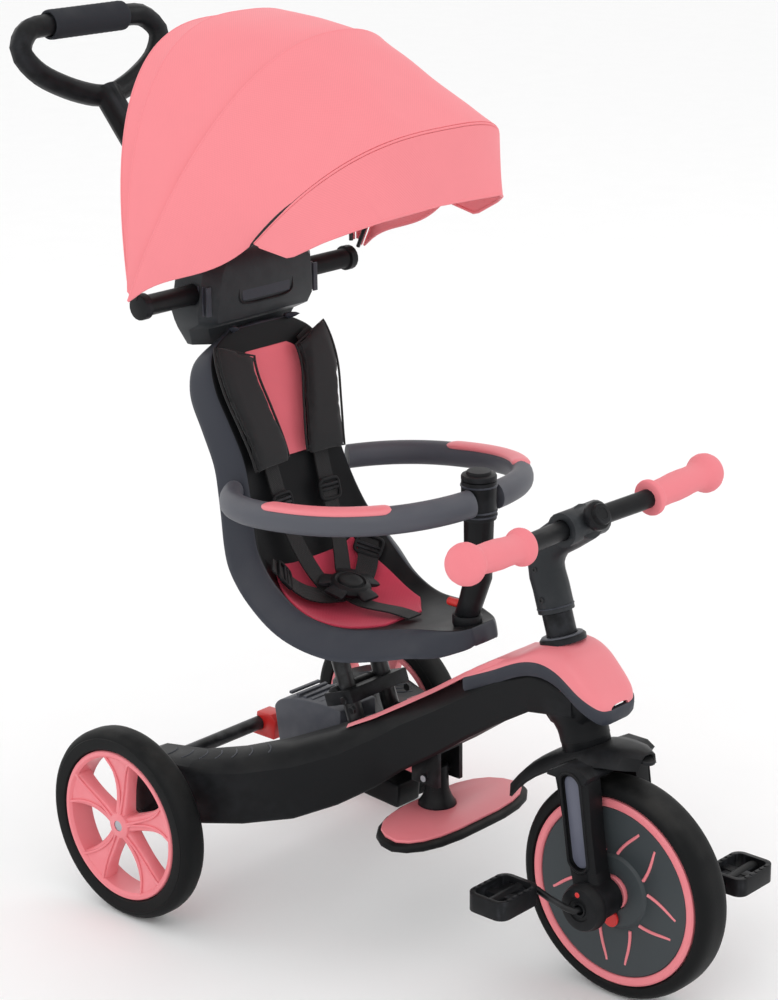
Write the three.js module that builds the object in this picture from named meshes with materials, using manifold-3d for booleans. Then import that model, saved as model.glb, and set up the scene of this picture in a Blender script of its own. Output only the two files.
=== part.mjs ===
// Children's push tricycle with canopy, safety ring, harness seat, footrest and telescopic push pole.
// Millimetres. +X points forward, +Y to the rider's left, +Z up. Every piece is placed from the point on
// the ground below the front axle; the finished group is then moved so that its origin is the centre of
// its footprint.
import * as THREE from "three";
import { mergeVertices } from "three/addons/utils/BufferGeometryUtils.js";
import Module from "manifold-3d";

const wasm = await Module();
wasm.setup();

// ---- driving dimensions ---------------------------------------------------------------------------
const GAP = 0.3; // clearance between pieces that touch
const WHEELBASE = 553.7;

const FRONT_R = 127; // front wheel radius, 10 inch
const FRONT_TYRE_W = 46;
const FRONT_RIM_R = 109.5;
const FRONT_DISC_R = 97;
const REAR_R = 116.2;
const REAR_RIM_R = 91.6;
const REAR_TYRE_W = 36;
const TRACK_Y = 229.3; // middle of each rear tyre
const WHEEL_FACETS = 30;

const STEER_ANGLE = THREE.MathUtils.degToRad(17); // head tube lean from vertical
const STEER_X = -7; // steering axis at axle height
const STEM_R = 17;
const HEAD_BORE_R = 21;

const CRANK_ARM = 61.9;
const CRANK_ANGLE = THREE.MathUtils.degToRad(163.9); // right crank, from forward towards up
const CRANK_ROD_R = 4;
const CRANK_BEND_Y = 88;
const PEDAL_Y = 135.7;
const PEDAL_LENGTH = 66;
const PEDAL_WIDTH = 52;
const PEDAL_THICK = 21;

const ARM_HALF_WIDTH = 32;
const REAR_AXLE_R = 6;
const CROSS_TUBE_R = 8.5;
const CROSS_TUBE_Z = 173;

const SEAT_POST_R = 10.5;
const SEAT_POST_LEAN = THREE.MathUtils.degToRad(20);
const SEAT_WALL = 5;
const SEAT_BAND = 38;
const SEAT_TRAVEL = 30; // height adjustment along the posts

const RING_TUBE_R = 14.5;
const RING_HALF_WIDTH = 158;
const RING_FRONT_X = -203;
const RING_REAR_X = -522;
const RING_SIDE_Z = 514;
const RING_TILT = 0.1;

const POLE_R = 13;
const POLE_SLEEVE_R = 16.5;
const HANDLE_TUBE_R = 13.5;
const HANDLE_HALF_WIDTH = 110;

const CANOPY_X = -562; // canopy pivot line
const CANOPY_Z = 724;
const CANOPY_WALL = 2.4;
const CANOPY_TUBE_R = 12;
const BRACKET_Y = 170;

const FOOTREST_X = -262;
const FOOTREST_Z = 140;
const FOOTREST_HALF_SPAN = 116;
const FOOTREST_THICK = 14;

// ---- finishes -------------------------------------------------------------------------------------
const finish = (color, roughness, metalness = 0) =>
  new THREE.MeshStandardMaterial({ color, roughness, metalness });
const black = finish(0x232426, 0.5);
const darkGrey = finish(0x4b4d53, 0.55);
const discGrey = finish(0x5f6164, 0.5);
const coral = finish(0xf0737d, 0.45);
const red = finish(0xd7302b, 0.4);
const rubber = finish(0x1d1e20, 0.7);
const softGrip = finish(0xee7680, 0.7);
const cloth = finish(0xf07c83, 0.9);
const webbing = finish(0x1c1c1e, 0.95);
const padCloth = finish(0x2b2c2f, 0.95);
const foam = finish(0x3b3c40, 0.85);
const steel = finish(0xb9bcc0, 0.3, 1);
const blackSteel = finish(0x191a1b, 0.3, 0.6);

// ---- geometry helpers -----------------------------------------------------------------------------
const v2 = (x, y) => new THREE.Vector2(x, y);
const v3 = (x, y, z) => new THREE.Vector3(x, y, z);
const lerp = THREE.MathUtils.lerp;
const SIDES = [
  ["right", -1],
  ["left", 1],
];

// Welds a geometry to bare positions and turns its faces outwards.
function closed(geometry) {
  const bare = geometry.index ? geometry : geometry.clone();
  bare.deleteAttribute("normal");
  bare.deleteAttribute("uv");
  const welded = mergeVertices(bare, 1e-4);
  const position = welded.attributes.position;
  const kept = [];
  for (let i = 0; i < welded.index.count; i += 3) {
    const [a, b, c] = welded.index.array.slice(i, i + 3);
    if (a !== b && b !== c && c !== a) kept.push(a, b, c);
  }
  welded.setIndex(kept);
  const index = welded.index.array;
  let volume = 0;
  const corner = [v3(0, 0, 0), v3(0, 0, 0), v3(0, 0, 0)];
  for (let i = 0; i < index.length; i += 3) {
    corner.forEach((point, k) => point.fromBufferAttribute(position, index[i + k]));
    volume += corner[0].dot(corner[1].clone().cross(corner[2]));
  }
  if (volume < 0) {
    for (let i = 0; i < index.length; i += 3) {
      [index[i + 1], index[i + 2]] = [index[i + 2], index[i + 1]];
    }
  }
  return welded;
}

function toSolid(geometry) {
  const welded = closed(geometry);
  const vertProperties = new Float32Array(welded.attributes.position.array);
  const triVerts = new Uint32Array(welded.index.array);
  return new wasm.Manifold(new wasm.Mesh({ numProp: 3, vertProperties, triVerts }));
}

function fromSolid(solid) {
  const mesh = solid.getMesh();
  const geometry = new THREE.BufferGeometry();
  geometry.setAttribute("position", new THREE.BufferAttribute(mesh.vertProperties, 3));
  geometry.setIndex(new THREE.BufferAttribute(mesh.triVerts, 1));
  return geometry;
}

const join = (...pieces) => fromSolid(pieces.map(toSolid).reduce((sum, next) => sum.add(next)));
const cut = (base, ...tools) =>
  fromSolid(tools.map(toSolid).reduce((rest, tool) => rest.subtract(tool), toSolid(base)));

// A ring profile of [radius, y] pairs turned about the Y axis, with a flat facet at the bottom.
function turned(profile, facets = 24) {
  const points = profile.map(([radius, y]) => v2(radius, y));
  const onAxis = profile[0][0] === 0 && profile[profile.length - 1][0] === 0;
  if (!onAxis) {
    points.push(points[0].clone());
  }
  return closed(new THREE.LatheGeometry(points, facets, Math.PI / facets));
}

// The same, stood up along Z.
const turnedUp = (profile, facets) => turned(profile, facets).rotateX(Math.PI / 2);

// A round bar along Y, Z or X, centred on a point.
function bar(radius, length, axis, center, facets = 20) {
  const geometry = new THREE.CylinderGeometry(radius, radius, length, facets);
  if (axis === "z") geometry.rotateX(Math.PI / 2);
  if (axis === "x") geometry.rotateZ(Math.PI / 2);
  return geometry.translate(center.x, center.y, center.z);
}

// A round tube between two points.
function strut(start, end, radius, facets = 16) {
  const geometry = new THREE.CylinderGeometry(radius, radius, start.distanceTo(end), facets);
  const direction = end.clone().sub(start).normalize();
  geometry.applyQuaternion(new THREE.Quaternion().setFromUnitVectors(v3(0, 1, 0), direction));
  const middle = start.clone().add(end).multiplyScalar(0.5);
  return geometry.translate(middle.x, middle.y, middle.z);
}

const circle = (radius) => {
  const shape = new THREE.Shape();
  shape.absarc(0, 0, radius, 0, Math.PI * 2, false);
  return shape;
};

// A section swept along a smooth curve through the points.
function swept(points, section, steps, curveSegments = 5) {
  const path = new THREE.CatmullRomCurve3(points, false, "centripetal");
  return new THREE.ExtrudeGeometry(section, {
    steps,
    curveSegments,
    bevelEnabled: false,
    extrudePath: path,
  });
}
const bentTube = (points, radius, steps, curveSegments = 5) =>
  swept(points, circle(radius), steps, curveSegments);

function outlineShape(points) {
  return new THREE.Shape(points.map(([x, y]) => v2(x, y)));
}

function roundedRect(width, height, radius) {
  const x = width / 2;
  const y = height / 2;
  const shape = new THREE.Shape();
  shape.moveTo(-x + radius, -y);
  shape.lineTo(x - radius, -y);
  shape.absarc(x - radius, -y + radius, radius, -Math.PI / 2, 0, false);
  shape.lineTo(x, y - radius);
  shape.absarc(x - radius, y - radius, radius, 0, Math.PI / 2, false);
  shape.lineTo(-x + radius, y);
  shape.absarc(-x + radius, y - radius, radius, Math.PI / 2, Math.PI, false);
  shape.lineTo(-x, -y + radius);
  shape.absarc(-x + radius, -y + radius, radius, Math.PI, Math.PI * 1.5, false);
  return shape;
}

// A plan outline in X and Y, from one height to another.
function flatSlab(shape, z0, z1, curveSegments = 6) {
  const options = { depth: z1 - z0, bevelEnabled: false, curveSegments };
  return new THREE.ExtrudeGeometry(shape, options).translate(0, 0, z0);
}

// A side outline in X and Z, from one Y to another.
function sideSlab(shape, y0, y1, curveSegments = 6) {
  const options = { depth: y1 - y0, bevelEnabled: false, curveSegments };
  return new THREE.ExtrudeGeometry(shape, options).rotateX(Math.PI / 2).translate(0, y1, 0);
}

// A closed body through rings of the same number of points, capped at both ends.
function loft(rings) {
  const count = rings[0].length;
  const positions = [];
  const index = [];
  rings.forEach((ring) => ring.forEach((p) => positions.push(p.x, p.y, p.z)));
  for (let i = 0; i < rings.length - 1; i++) {
    for (let j = 0; j < count; j++) {
      const a = i * count + j;
      const b = i * count + ((j + 1) % count);
      index.push(a, b, b + count, a, b + count, a + count);
    }
  }
  [0, rings.length - 1].forEach((row) => {
    const middle = rings[row].reduce((sum, p) => sum.add(p), v3(0, 0, 0)).divideScalar(count);
    const hub = positions.length / 3;
    positions.push(middle.x, middle.y, middle.z);
    for (let j = 0; j < count; j++) {
      const a = row * count + j;
      const b = row * count + ((j + 1) % count);
      if (row === 0) index.push(hub, b, a);
      else index.push(hub, a, b);
    }
  });
  const geometry = new THREE.BufferGeometry();
  geometry.setAttribute("position", new THREE.Float32BufferAttribute(positions, 3));
  geometry.setIndex(index);
  return closed(geometry);
}

// Rows of points moved along the surface normals.
function liftRows(grid, distance) {
  const rows = grid.length;
  const columns = grid[0].length;
  const at = (i, j) =>
    grid[Math.min(Math.max(i, 0), rows - 1)][Math.min(Math.max(j, 0), columns - 1)];
  return grid.map((row, i) =>
    row.map((point, j) => {
      const along = at(i + 1, j).clone().sub(at(i - 1, j));
      const across = at(i, j + 1).clone().sub(at(i, j - 1));
      return point.clone().addScaledVector(along.cross(across).normalize(), distance);
    }),
  );
}

// A curved sheet given as rows of points, thickened along its normals.
function sheet(grid, thickness) {
  const rows = grid.length;
  const columns = grid[0].length;
  const points = [...grid.flat(), ...liftRows(grid, thickness).flat()];
  const positions = points.flatMap((p) => [p.x, p.y, p.z]);
  const index = [];
  const quad = (a, b, c, d) => index.push(a, b, c, a, c, d);
  const layer = rows * columns;
  for (let i = 0; i < rows - 1; i++) {
    for (let j = 0; j < columns - 1; j++) {
      const a = i * columns + j;
      quad(a, a + columns, a + columns + 1, a + 1);
      quad(layer + a, layer + a + 1, layer + a + columns + 1, layer + a + columns);
    }
  }
  const rim = [];
  for (let j = 0; j < columns - 1; j++) rim.push(j);
  for (let i = 0; i < rows - 1; i++) rim.push(i * columns + columns - 1);
  for (let j = columns - 1; j > 0; j--) rim.push((rows - 1) * columns + j);
  for (let i = rows - 1; i > 0; i--) rim.push(i * columns);
  rim.forEach((a, k) => {
    const b = rim[(k + 1) % rim.length];
    quad(a, b, layer + b, layer + a);
  });
  const geometry = new THREE.BufferGeometry();
  geometry.setAttribute("position", new THREE.Float32BufferAttribute(positions, 3));
  geometry.setIndex(index);
  return closed(geometry);
}

// One level ring of points for a loft.
const ovalRing = (x, y, z, rx, ry, count = 12) =>
  Array.from({ length: count }, (_, k) => {
    const t = (2 * Math.PI * k) / count;
    return v3(x + rx * Math.cos(t), y + ry * Math.sin(t), z);
  });

// A value read between [key, value] stations.
function along(stations, key) {
  const last = stations.length - 1;
  if (key <= stations[0][0]) return stations[0][1];
  for (let i = 0; i < last; i++) {
    const [k0, a] = stations[i];
    const [k1, b] = stations[i + 1];
    if (key <= k1) return lerp(a, b, (key - k0) / (k1 - k0));
  }
  return stations[last][1];
}

const mirrored = (geometry) => closed(geometry.clone().scale(1, -1, 1));

// ---- the assembly ---------------------------------------------------------------------------------
const tricycle = new THREE.Group();
function add(name, geometry, material, position = v3(0, 0, 0)) {
  const mesh = new THREE.Mesh(geometry, material);
  mesh.name = name;
  mesh.position.copy(position);
  tricycle.add(mesh);
  return mesh;
}

const frontAxle = v3(0, 0, FRONT_R);
const rearAxle = v3(-WHEELBASE, 0, REAR_R);
const steerX = (z) => STEER_X - (z - FRONT_R) * Math.tan(STEER_ANGLE);
const steerDirection = v3(-Math.sin(STEER_ANGLE), 0, Math.cos(STEER_ANGLE));
const onSteer = (z, y = 0) => v3(steerX(z), y, z);

// ---- front wheel and cranks -----------------------------------------------------------------------
const tyreProfile = (outer, inner, width) => [
  [inner + GAP, -width / 2 + 4],
  [inner + 3, -width / 2],
  [outer - 7, -width / 2 + 0.5],
  [outer - 2, -width / 2 + 7],
  [outer, -width / 2 + 14],
  [outer, width / 2 - 14],
  [outer - 2, width / 2 - 7],
  [outer - 7, width / 2 - 0.5],
  [inner + 3, width / 2],
  [inner + GAP, width / 2 - 4],
];
const flatTo = (radius, facets) => radius / Math.cos(Math.PI / facets);
const frontFlat = flatTo(1, WHEEL_FACETS);
const frontWheelPart = (profile) =>
  turned(
    profile.map(([radius, y]) => [radius * frontFlat, y]),
    WHEEL_FACETS,
  );

const rodBore = CRANK_ROD_R + 1;
const rimFace = FRONT_TYRE_W / 2 - 0.6;
const hubR = 20;
add("front_tyre", frontWheelPart(tyreProfile(FRONT_R, FRONT_RIM_R, FRONT_TYRE_W)), rubber, frontAxle);
add(
  "front_rim",
  frontWheelPart([
    [rodBore, -25],
    [hubR, -25],
    [hubR, -6],
    [FRONT_DISC_R - 3, -6],
    [FRONT_DISC_R + GAP, -rimFace],
    [FRONT_RIM_R, -rimFace],
    [FRONT_RIM_R, rimFace],
    [FRONT_DISC_R + GAP, rimFace],
    [FRONT_DISC_R - 3, 6],
    [hubR, 6],
    [hubR, 25],
    [rodBore, 25],
  ]),
  coral,
  frontAxle,
);
SIDES.forEach(([side, way]) => {
  const disc = frontWheelPart([
    [hubR + GAP, -6.3],
    [hubR + GAP, -21],
    [40, -21],
    [44, -18],
    [FRONT_DISC_R - 0.8, -19.5],
    [FRONT_DISC_R - 4, -6.3],
  ]);
  add(`front_disc_${side}`, way > 0 ? mirrored(disc) : disc, discGrey, frontAxle);
});
const selector = new THREE.Shape();
selector.moveTo(-9, -18);
selector.lineTo(9, -18);
selector.lineTo(10, -32);
selector.absarc(0, -32, 10, 0, -Math.PI, true);
selector.lineTo(-9, -18);
add(
  "clutch_selector",
  cut(sideSlab(selector, -25, -21.4), bar(hubR + 2 * GAP, 20, "y", v3(0, -23, 0), 20)),
  red,
  frontAxle,
);

const crankEnd = (way) => {
  const angle = way < 0 ? CRANK_ANGLE : CRANK_ANGLE + Math.PI;
  return v3(CRANK_ARM * Math.cos(angle), 0, FRONT_R + CRANK_ARM * Math.sin(angle));
};
const pedalInnerY = PEDAL_Y - PEDAL_LENGTH / 2;
const crankHalf = (way) => {
  const end = crankEnd(way);
  const at = (share, y) => v3(end.x * share, way * y, lerp(FRONT_R, end.z, share));
  return [
    at(1, PEDAL_Y + PEDAL_LENGTH / 2 - 6),
    at(1, PEDAL_Y),
    at(1, pedalInnerY + 2),
    at(1, pedalInnerY - 3),
    at(0.92, pedalInnerY - 9),
    at(0.5, lerp(CRANK_BEND_Y, pedalInnerY, 0.3)),
    at(0.1, CRANK_BEND_Y),
    at(0, CRANK_BEND_Y - 4),
    at(0, CRANK_BEND_Y - 9),
    at(0, 40),
  ];
};
add(
  "crankshaft",
  bentTube([...crankHalf(-1), ...crankHalf(1).reverse()], CRANK_ROD_R, 44, 4),
  blackSteel,
);

const pedalFrame = () => {
  const outer = roundedRect(PEDAL_WIDTH, PEDAL_LENGTH, 12);
  const window = roundedRect(PEDAL_WIDTH - 11, PEDAL_LENGTH - 11, 8);
  outer.holes.push(window);
  const frame = flatSlab(outer, -PEDAL_THICK / 2, PEDAL_THICK / 2, 3);
  const barrel = bar(7, PEDAL_LENGTH - 4, "y", v3(0, 0, 0), 14);
  const crossWeb = new THREE.BoxGeometry(PEDAL_WIDTH - 6, 12, 8);
  const innerWeb = new THREE.BoxGeometry(PEDAL_WIDTH - 22, 26, 6).translate(0, 14, 0);
  const body = join(frame, barrel, crossWeb, innerWeb);
  return cut(body, bar(rodBore - 0.4, PEDAL_LENGTH - 3, "y", v3(0, 2.5, 0), 16));
};
SIDES.forEach(([side, way]) => {
  const pedal = pedalFrame();
  const placed = way > 0 ? closed(pedal.scale(1, -1, 1)) : pedal;
  add(`pedal_${side}`, placed, black, crankEnd(way).setY(way * PEDAL_Y));
});

// ---- fork, fender and steering column ------------------------------------------------------------
const LEG_INNER_Y = 31;
const LEG_OUTER_Y = 60;
const CROWN_BOTTOM_Z = 262;
const CROWN_TOP_Z = 277;
const FENDER_R = 156;
const HEAD_BOTTOM_Z = 303;
const HEAD_TOP_Z = 396;
const SLEEVE_TOP_Z = 424;
const NECK_BEND_Z = 484;
const CLAMP = v3(-68, 0, 531); // middle of the handlebar clamp

const crownBlock = (grow) => {
  const crown = outlineShape([
    [-62 - grow, CROWN_BOTTOM_Z - grow],
    [-12 + grow, CROWN_BOTTOM_Z - grow],
    [-6 + grow, CROWN_TOP_Z - 6],
    [-16 + grow, CROWN_TOP_Z + grow],
    [-42 - grow, CROWN_TOP_Z + grow],
    [-60 - grow, CROWN_TOP_Z - 10 + grow],
  ]);
  return sideSlab(crown, -LEG_OUTER_Y - grow, LEG_OUTER_Y + grow);
};
const forkLeg = (way) => {
  const stations = [
    [CROWN_BOTTOM_Z + 4, -35, 22],
    [CROWN_BOTTOM_Z - 8, -32, 22],
    [205, -24, 19],
    [160, -16, 18],
    [132, -8, 19],
  ];
  const rings = stations.map(([z, x, half]) => [
    v3(x - half, way * LEG_INNER_Y, z),
    v3(x + half, way * LEG_INNER_Y, z),
    v3(x + half, way * (LEG_OUTER_Y - 7), z),
    v3(x + half - 6, way * LEG_OUTER_Y, z),
    v3(x - half + 6, way * LEG_OUTER_Y, z),
    v3(x - half, way * (LEG_OUTER_Y - 7), z),
  ]);
  const boss = bar(22, LEG_OUTER_Y - LEG_INNER_Y + 3, "y", v3(0, 0, FRONT_R), 24);
  boss.translate(0, way * ((LEG_OUTER_Y + LEG_INNER_Y + 3) / 2), 0);
  return join(loft(rings), boss);
};
const recessAt = (way, grow) => {
  const slot = roundedRect(28 + 2 * grow, 112 + 2 * grow, 13.9);
  return sideSlab(slot, 0, 8)
    .rotateY(-Math.atan(0.14))
    .translate(-26, way > 0 ? LEG_OUTER_Y - 6 : -LEG_OUTER_Y - 2, 215);
};
const steerer = join(
  strut(onSteer(CROWN_TOP_Z - 8), onSteer(NECK_BEND_Z), STEM_R - 3, 18),
  strut(onSteer(HEAD_BOTTOM_Z + 8), onSteer(SLEEVE_TOP_Z), STEM_R, 18),
);
const axleBores = bar(rodBore, 200, "y", frontAxle, 20);
add(
  "fork",
  cut(
    join(crownBlock(0), forkLeg(-1), forkLeg(1)),
    axleBores,
    recessAt(-1, 0),
    recessAt(1, 0),
    strut(onSteer(CROWN_BOTTOM_Z - 10), onSteer(CROWN_TOP_Z + 20), STEM_R - 3 + GAP, 20),
  ),
  black,
);
add("steerer_tube", steerer, blackSteel);
SIDES.forEach(([side, way]) => {
  const cover = turned(
    [
      [rodBore, -LEG_OUTER_Y - 3.6],
      [26, -LEG_OUTER_Y - 3.6],
      [27.5, -LEG_OUTER_Y - 9],
      [25, -LEG_OUTER_Y - 19],
      [22, -LEG_OUTER_Y - 21],
      [rodBore, -LEG_OUTER_Y - 21],
    ],
    28,
  );
  add(`hub_cover_${side}`, way > 0 ? mirrored(cover) : cover, black, frontAxle);
});

const fenderGrid = [];
for (let i = 0; i <= 11; i++) {
  const angle = THREE.MathUtils.degToRad(lerp(80, 147, i / 11));
  const radius = lerp(FENDER_R + 5, FENDER_R + 11, Math.abs(i / 11 - 0.45) * 1.6);
  const half = along(
    [
      [0, 14],
      [1, 30],
      [3, 41],
      [11, 40],
    ],
    i,
  );
  const row = [];
  for (let j = 0; j <= 6; j++) {
    const v = j / 3 - 1;
    const r = radius - 15 * v ** 4;
    row.push(v3(r * Math.cos(angle), v * half, FRONT_R + r * Math.sin(angle)));
  }
  fenderGrid.push(row);
}
add(
  "front_fender",
  cut(
    sheet(fenderGrid, -3),
    crownBlock(GAP),
    strut(onSteer(CROWN_TOP_Z - 30), onSteer(HEAD_BOTTOM_Z + 20), STEM_R - 2, 20),
  ),
  black,
);

const alongSteer = (z) => onSteer(z).sub(frontAxle);
const onSteerLathe = (profile, z, facets) => {
  const geometry = turnedUp(profile, facets).rotateY(-STEER_ANGLE);
  const at = alongSteer(z).add(frontAxle);
  return geometry.translate(at.x, 0, at.z);
};
add(
  "headset_lower",
  onSteerLathe(
    [
      [STEM_R - 3 + GAP, -9],
      [27, -9],
      [26, -16],
      [STEM_R - 3 + GAP, -16],
    ],
    HEAD_BOTTOM_Z,
    28,
  ),
  black,
);
add(
  "headset_upper",
  onSteerLathe(
    [
      [STEM_R + 0.4, 4],
      [HEAD_BORE_R + 2.5, 4],
      [HEAD_BORE_R + 2.5, 1],
      [STEM_R + 0.4, 1],
    ],
    HEAD_TOP_Z,
    28,
  ),
  darkGrey,
);
const neckPath = [
  onSteer(SLEEVE_TOP_Z + 1),
  onSteer(452),
  onSteer(NECK_BEND_Z - 8),
  v3(-104, 0, 503),
  CLAMP.clone().add(v3(-14, 0, -12)),
  CLAMP.clone().add(v3(10, 0, 5)),
];
const neckBody = bentTube(neckPath, 20.5, 10, 8);
const clampBarrel = bar(19, 62, "y", CLAMP, 20);
const handlebarR = 11;
add(
  "neck",
  cut(
    join(neckBody, clampBarrel),
    bar(handlebarR + 2 * GAP, 120, "y", CLAMP, 20),
    strut(onSteer(SLEEVE_TOP_Z - 8), onSteer(NECK_BEND_Z + 2), STEM_R - 3 + GAP, 20),
  ),
  black,
);
const knobDirection = v3(0.87, 0, 0.5).normalize();
const knobBase = CLAMP.clone().addScaledVector(knobDirection, 21.5);
add(
  "neck_knob",
  strut(knobBase, knobBase.clone().addScaledVector(knobDirection, 15), 16, 24),
  black,
);
const gripInner = v3(-58, 108, 535);
const gripOuter = v3(-52.4, 206, 542.5);
const barHalf = (way) =>
  [
    v3(CLAMP.x, 12, CLAMP.z),
    v3(CLAMP.x, 36, CLAMP.z),
    gripInner,
    gripInner.clone().lerp(gripOuter, 0.5),
    gripOuter,
  ].map((p) => v3(p.x, p.y * way, p.z));
add(
  "handlebar",
  bentTube([...barHalf(-1).reverse(), ...barHalf(1)], handlebarR - 0.2, 18, 6),
  blackSteel,
);
SIDES.forEach(([side, way]) => {
  const direction = gripOuter.clone().sub(gripInner).normalize();
  const length = gripOuter.distanceTo(gripInner);
  const grip = turned(
    [
      [handlebarR + 0.8, 0],
      [20, 0],
      [20.5, 5],
      [15.5, 10],
      [15.5, length - 18],
      [19, length - 12],
      [22.5, length - 4],
      [22.5, length + 4],
      [18, length + 12],
      [8, length + 16],
      [0, length + 16],
      [0, length + 1.5],
      [handlebarR + 0.8, length + 1.5],
    ],
    16,
  );
  grip.applyQuaternion(new THREE.Quaternion().setFromUnitVectors(v3(0, 1, 0), direction));
  grip.translate(gripInner.x, gripInner.y, gripInner.z);
  add(`grip_${side}`, way > 0 ? grip : mirrored(grip), softGrip);
});

// ---- frame ----------------------------------------------------------------------------------------
const POST_Y = 30;
const postAt = (z, y) => v3(-372 - (z - 236) * Math.tan(SEAT_POST_LEAN), y, z);

// Each station of the right half: path x, path y, half width, top, crease and bottom heights.
const armStations = [
  [-40, -20, 20.5, 349, 342, 322],
  [-80, -20, 20.5, 362, 352, 318],
  [-110, -19.5, 20, 368, 354, 313],
  [-155, -19.5, 20, 358, 335, 286],
  [-200, -19.5, 20, 331, 307, 256],
  [-245, -20, 20.5, 301, 279, 224],
  [-290, -23, 23.5, 273, 254, 196],
  [-330, -33, 29, 249, 232, 170],
  [-370, -62, ARM_HALF_WIDTH, 228, 212, 148],
  [-410, -98, ARM_HALF_WIDTH, 212, 197, 131],
  [-450, -137, ARM_HALF_WIDTH, 203, 190, 126],
  [-500, -163, ARM_HALF_WIDTH, 194, 184, 120],
  [-560, -175, ARM_HALF_WIDTH, 189, 181, 118],
  [-576, -177, ARM_HALF_WIDTH - 4, 182, 174, 122],
];
function armHalf() {
  const rings = armStations.map(([x, y, half, top, crease, bottom], i) => {
    const [x0, y0] = armStations[Math.max(i - 1, 0)];
    const [x1, y1] = armStations[Math.min(i + 1, armStations.length - 1)];
    const side = v2(y1 - y0, -(x1 - x0)).normalize();
    const point = (out, z) => v3(x - side.x * out, y - side.y * out, z);
    return [
      point(half - 3, bottom),
      point(half, bottom + 4),
      point(half, crease),
      point(half - 5, crease + 6),
      point(half - 18, top),
      point(-half + 10, top),
      point(-half, top - 8),
      point(-half, bottom + 4),
      point(-half + 4, bottom),
    ];
  });
  return loft(rings);
}
// The nose is a dome of ovals: height, rearmost x, foremost x, half width.
const oval = ([z, rear, front, half], count = 20) =>
  Array.from({ length: count }, (_, k) => {
    const t = ((k + 0.5) / count) * 2 * Math.PI;
    const squareness = Math.max(Math.abs(Math.cos(t)), Math.abs(Math.sin(t))) ** 0.35;
    const x = (rear + front) / 2 + (((front - rear) / 2) * Math.cos(t)) / squareness;
    return v3(x, (half * Math.sin(t)) / squareness, z);
  });
const noseBase = loft(
  [
    [HEAD_BOTTOM_Z, -96, -30, 27],
    [314, -104, -22, 32],
    [330, -110, 2, 38],
    [343, -112, 11, 40],
    [350, -112, 12, 40],
  ].map((ring) => oval(ring)),
);
const headBore = strut(onSteer(260), onSteer(440), HEAD_BORE_R - 2, 24);
const axleBoss = (way) =>
  bar(17, 2 * ARM_HALF_WIDTH - 8, "y", v3(rearAxle.x, way * 176, rearAxle.z), 20);
const armRight = armHalf();
const postBore = (way) => strut(postAt(180, way * POST_Y), postAt(300, way * POST_Y), SEAT_POST_R + GAP, 16);
const frameSolid = join(noseBase, armRight, mirrored(armRight), axleBoss(-1), axleBoss(1));
const crotchBox = new THREE.BoxGeometry(120, 62, 70).translate(-440, 0, 190);
add(
  "frame_beam",
  cut(
    frameSolid,
    headBore,
    bar(REAR_AXLE_R + GAP, 500, "y", rearAxle, 16),
    bar(CROSS_TUBE_R + GAP, 330, "y", v3(rearAxle.x, 0, CROSS_TUBE_Z), 16),
    postBore(-1),
    postBore(1),
  ),
  black,
);

// The coral cover is a thin skin over the top of the beam and the nose.
const COVER_LIFT = GAP;
const coverStations = [
  [-60, -21, 21, 366, 6],
  [-110, -20, 18, 369, 6],
  [-155, -20, 17, 358, 6],
  [-200, -20, 17, 331, 6],
  [-245, -21, 16, 301, 6],
  [-290, -24, 14, 273, 6],
  [-330, -34, 11, 249, 5],
  [-360, -52, 7, 234, 4],
];
function coverLeg() {
  const rings = coverStations.map(([x, y, half, z, rise]) => {
    const low = z + COVER_LIFT;
    return [
      v3(x, y - half, low),
      v3(x, y - half + 3, low + rise),
      v3(x, y + half - 2, low + rise),
      v3(x, y + half, low),
    ];
  });
  return loft(rings);
}
const noseSkin = loft(
  [
    [350 + GAP, -112, 12, 40],
    [362, -112, 8, 38],
    [374, -110, 0, 35],
    [387, -106, -14, 30],
    [396, -102, -30, 25],
    [401, -98, -42, 20],
  ].map((ring) => oval(ring)),
);
const legSkin = coverLeg();
add(
  "frame_cover",
  cut(
    join(noseSkin, legSkin, mirrored(legSkin)),
    strut(onSteer(260), onSteer(440), HEAD_BORE_R + 3.5, 24),
    new THREE.BoxGeometry(60, 16, 40).translate(-350, 0, 250),
    frameSolid.clone().translate(0, GAP, GAP),
    frameSolid.clone().translate(0, -GAP, GAP),
    frameSolid.clone().translate(GAP, 0, GAP),
  ),
  coral,
);
const headTubeSpan = [onSteer(HEAD_BOTTOM_Z + 4), onSteer(HEAD_TOP_Z - 2)];
add(
  "head_tube",
  cut(
    strut(...headTubeSpan, HEAD_BORE_R - 2.3, 24),
    strut(onSteer(260), onSteer(440), STEM_R + 0.6, 24),
  ),
  steel,
);

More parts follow.
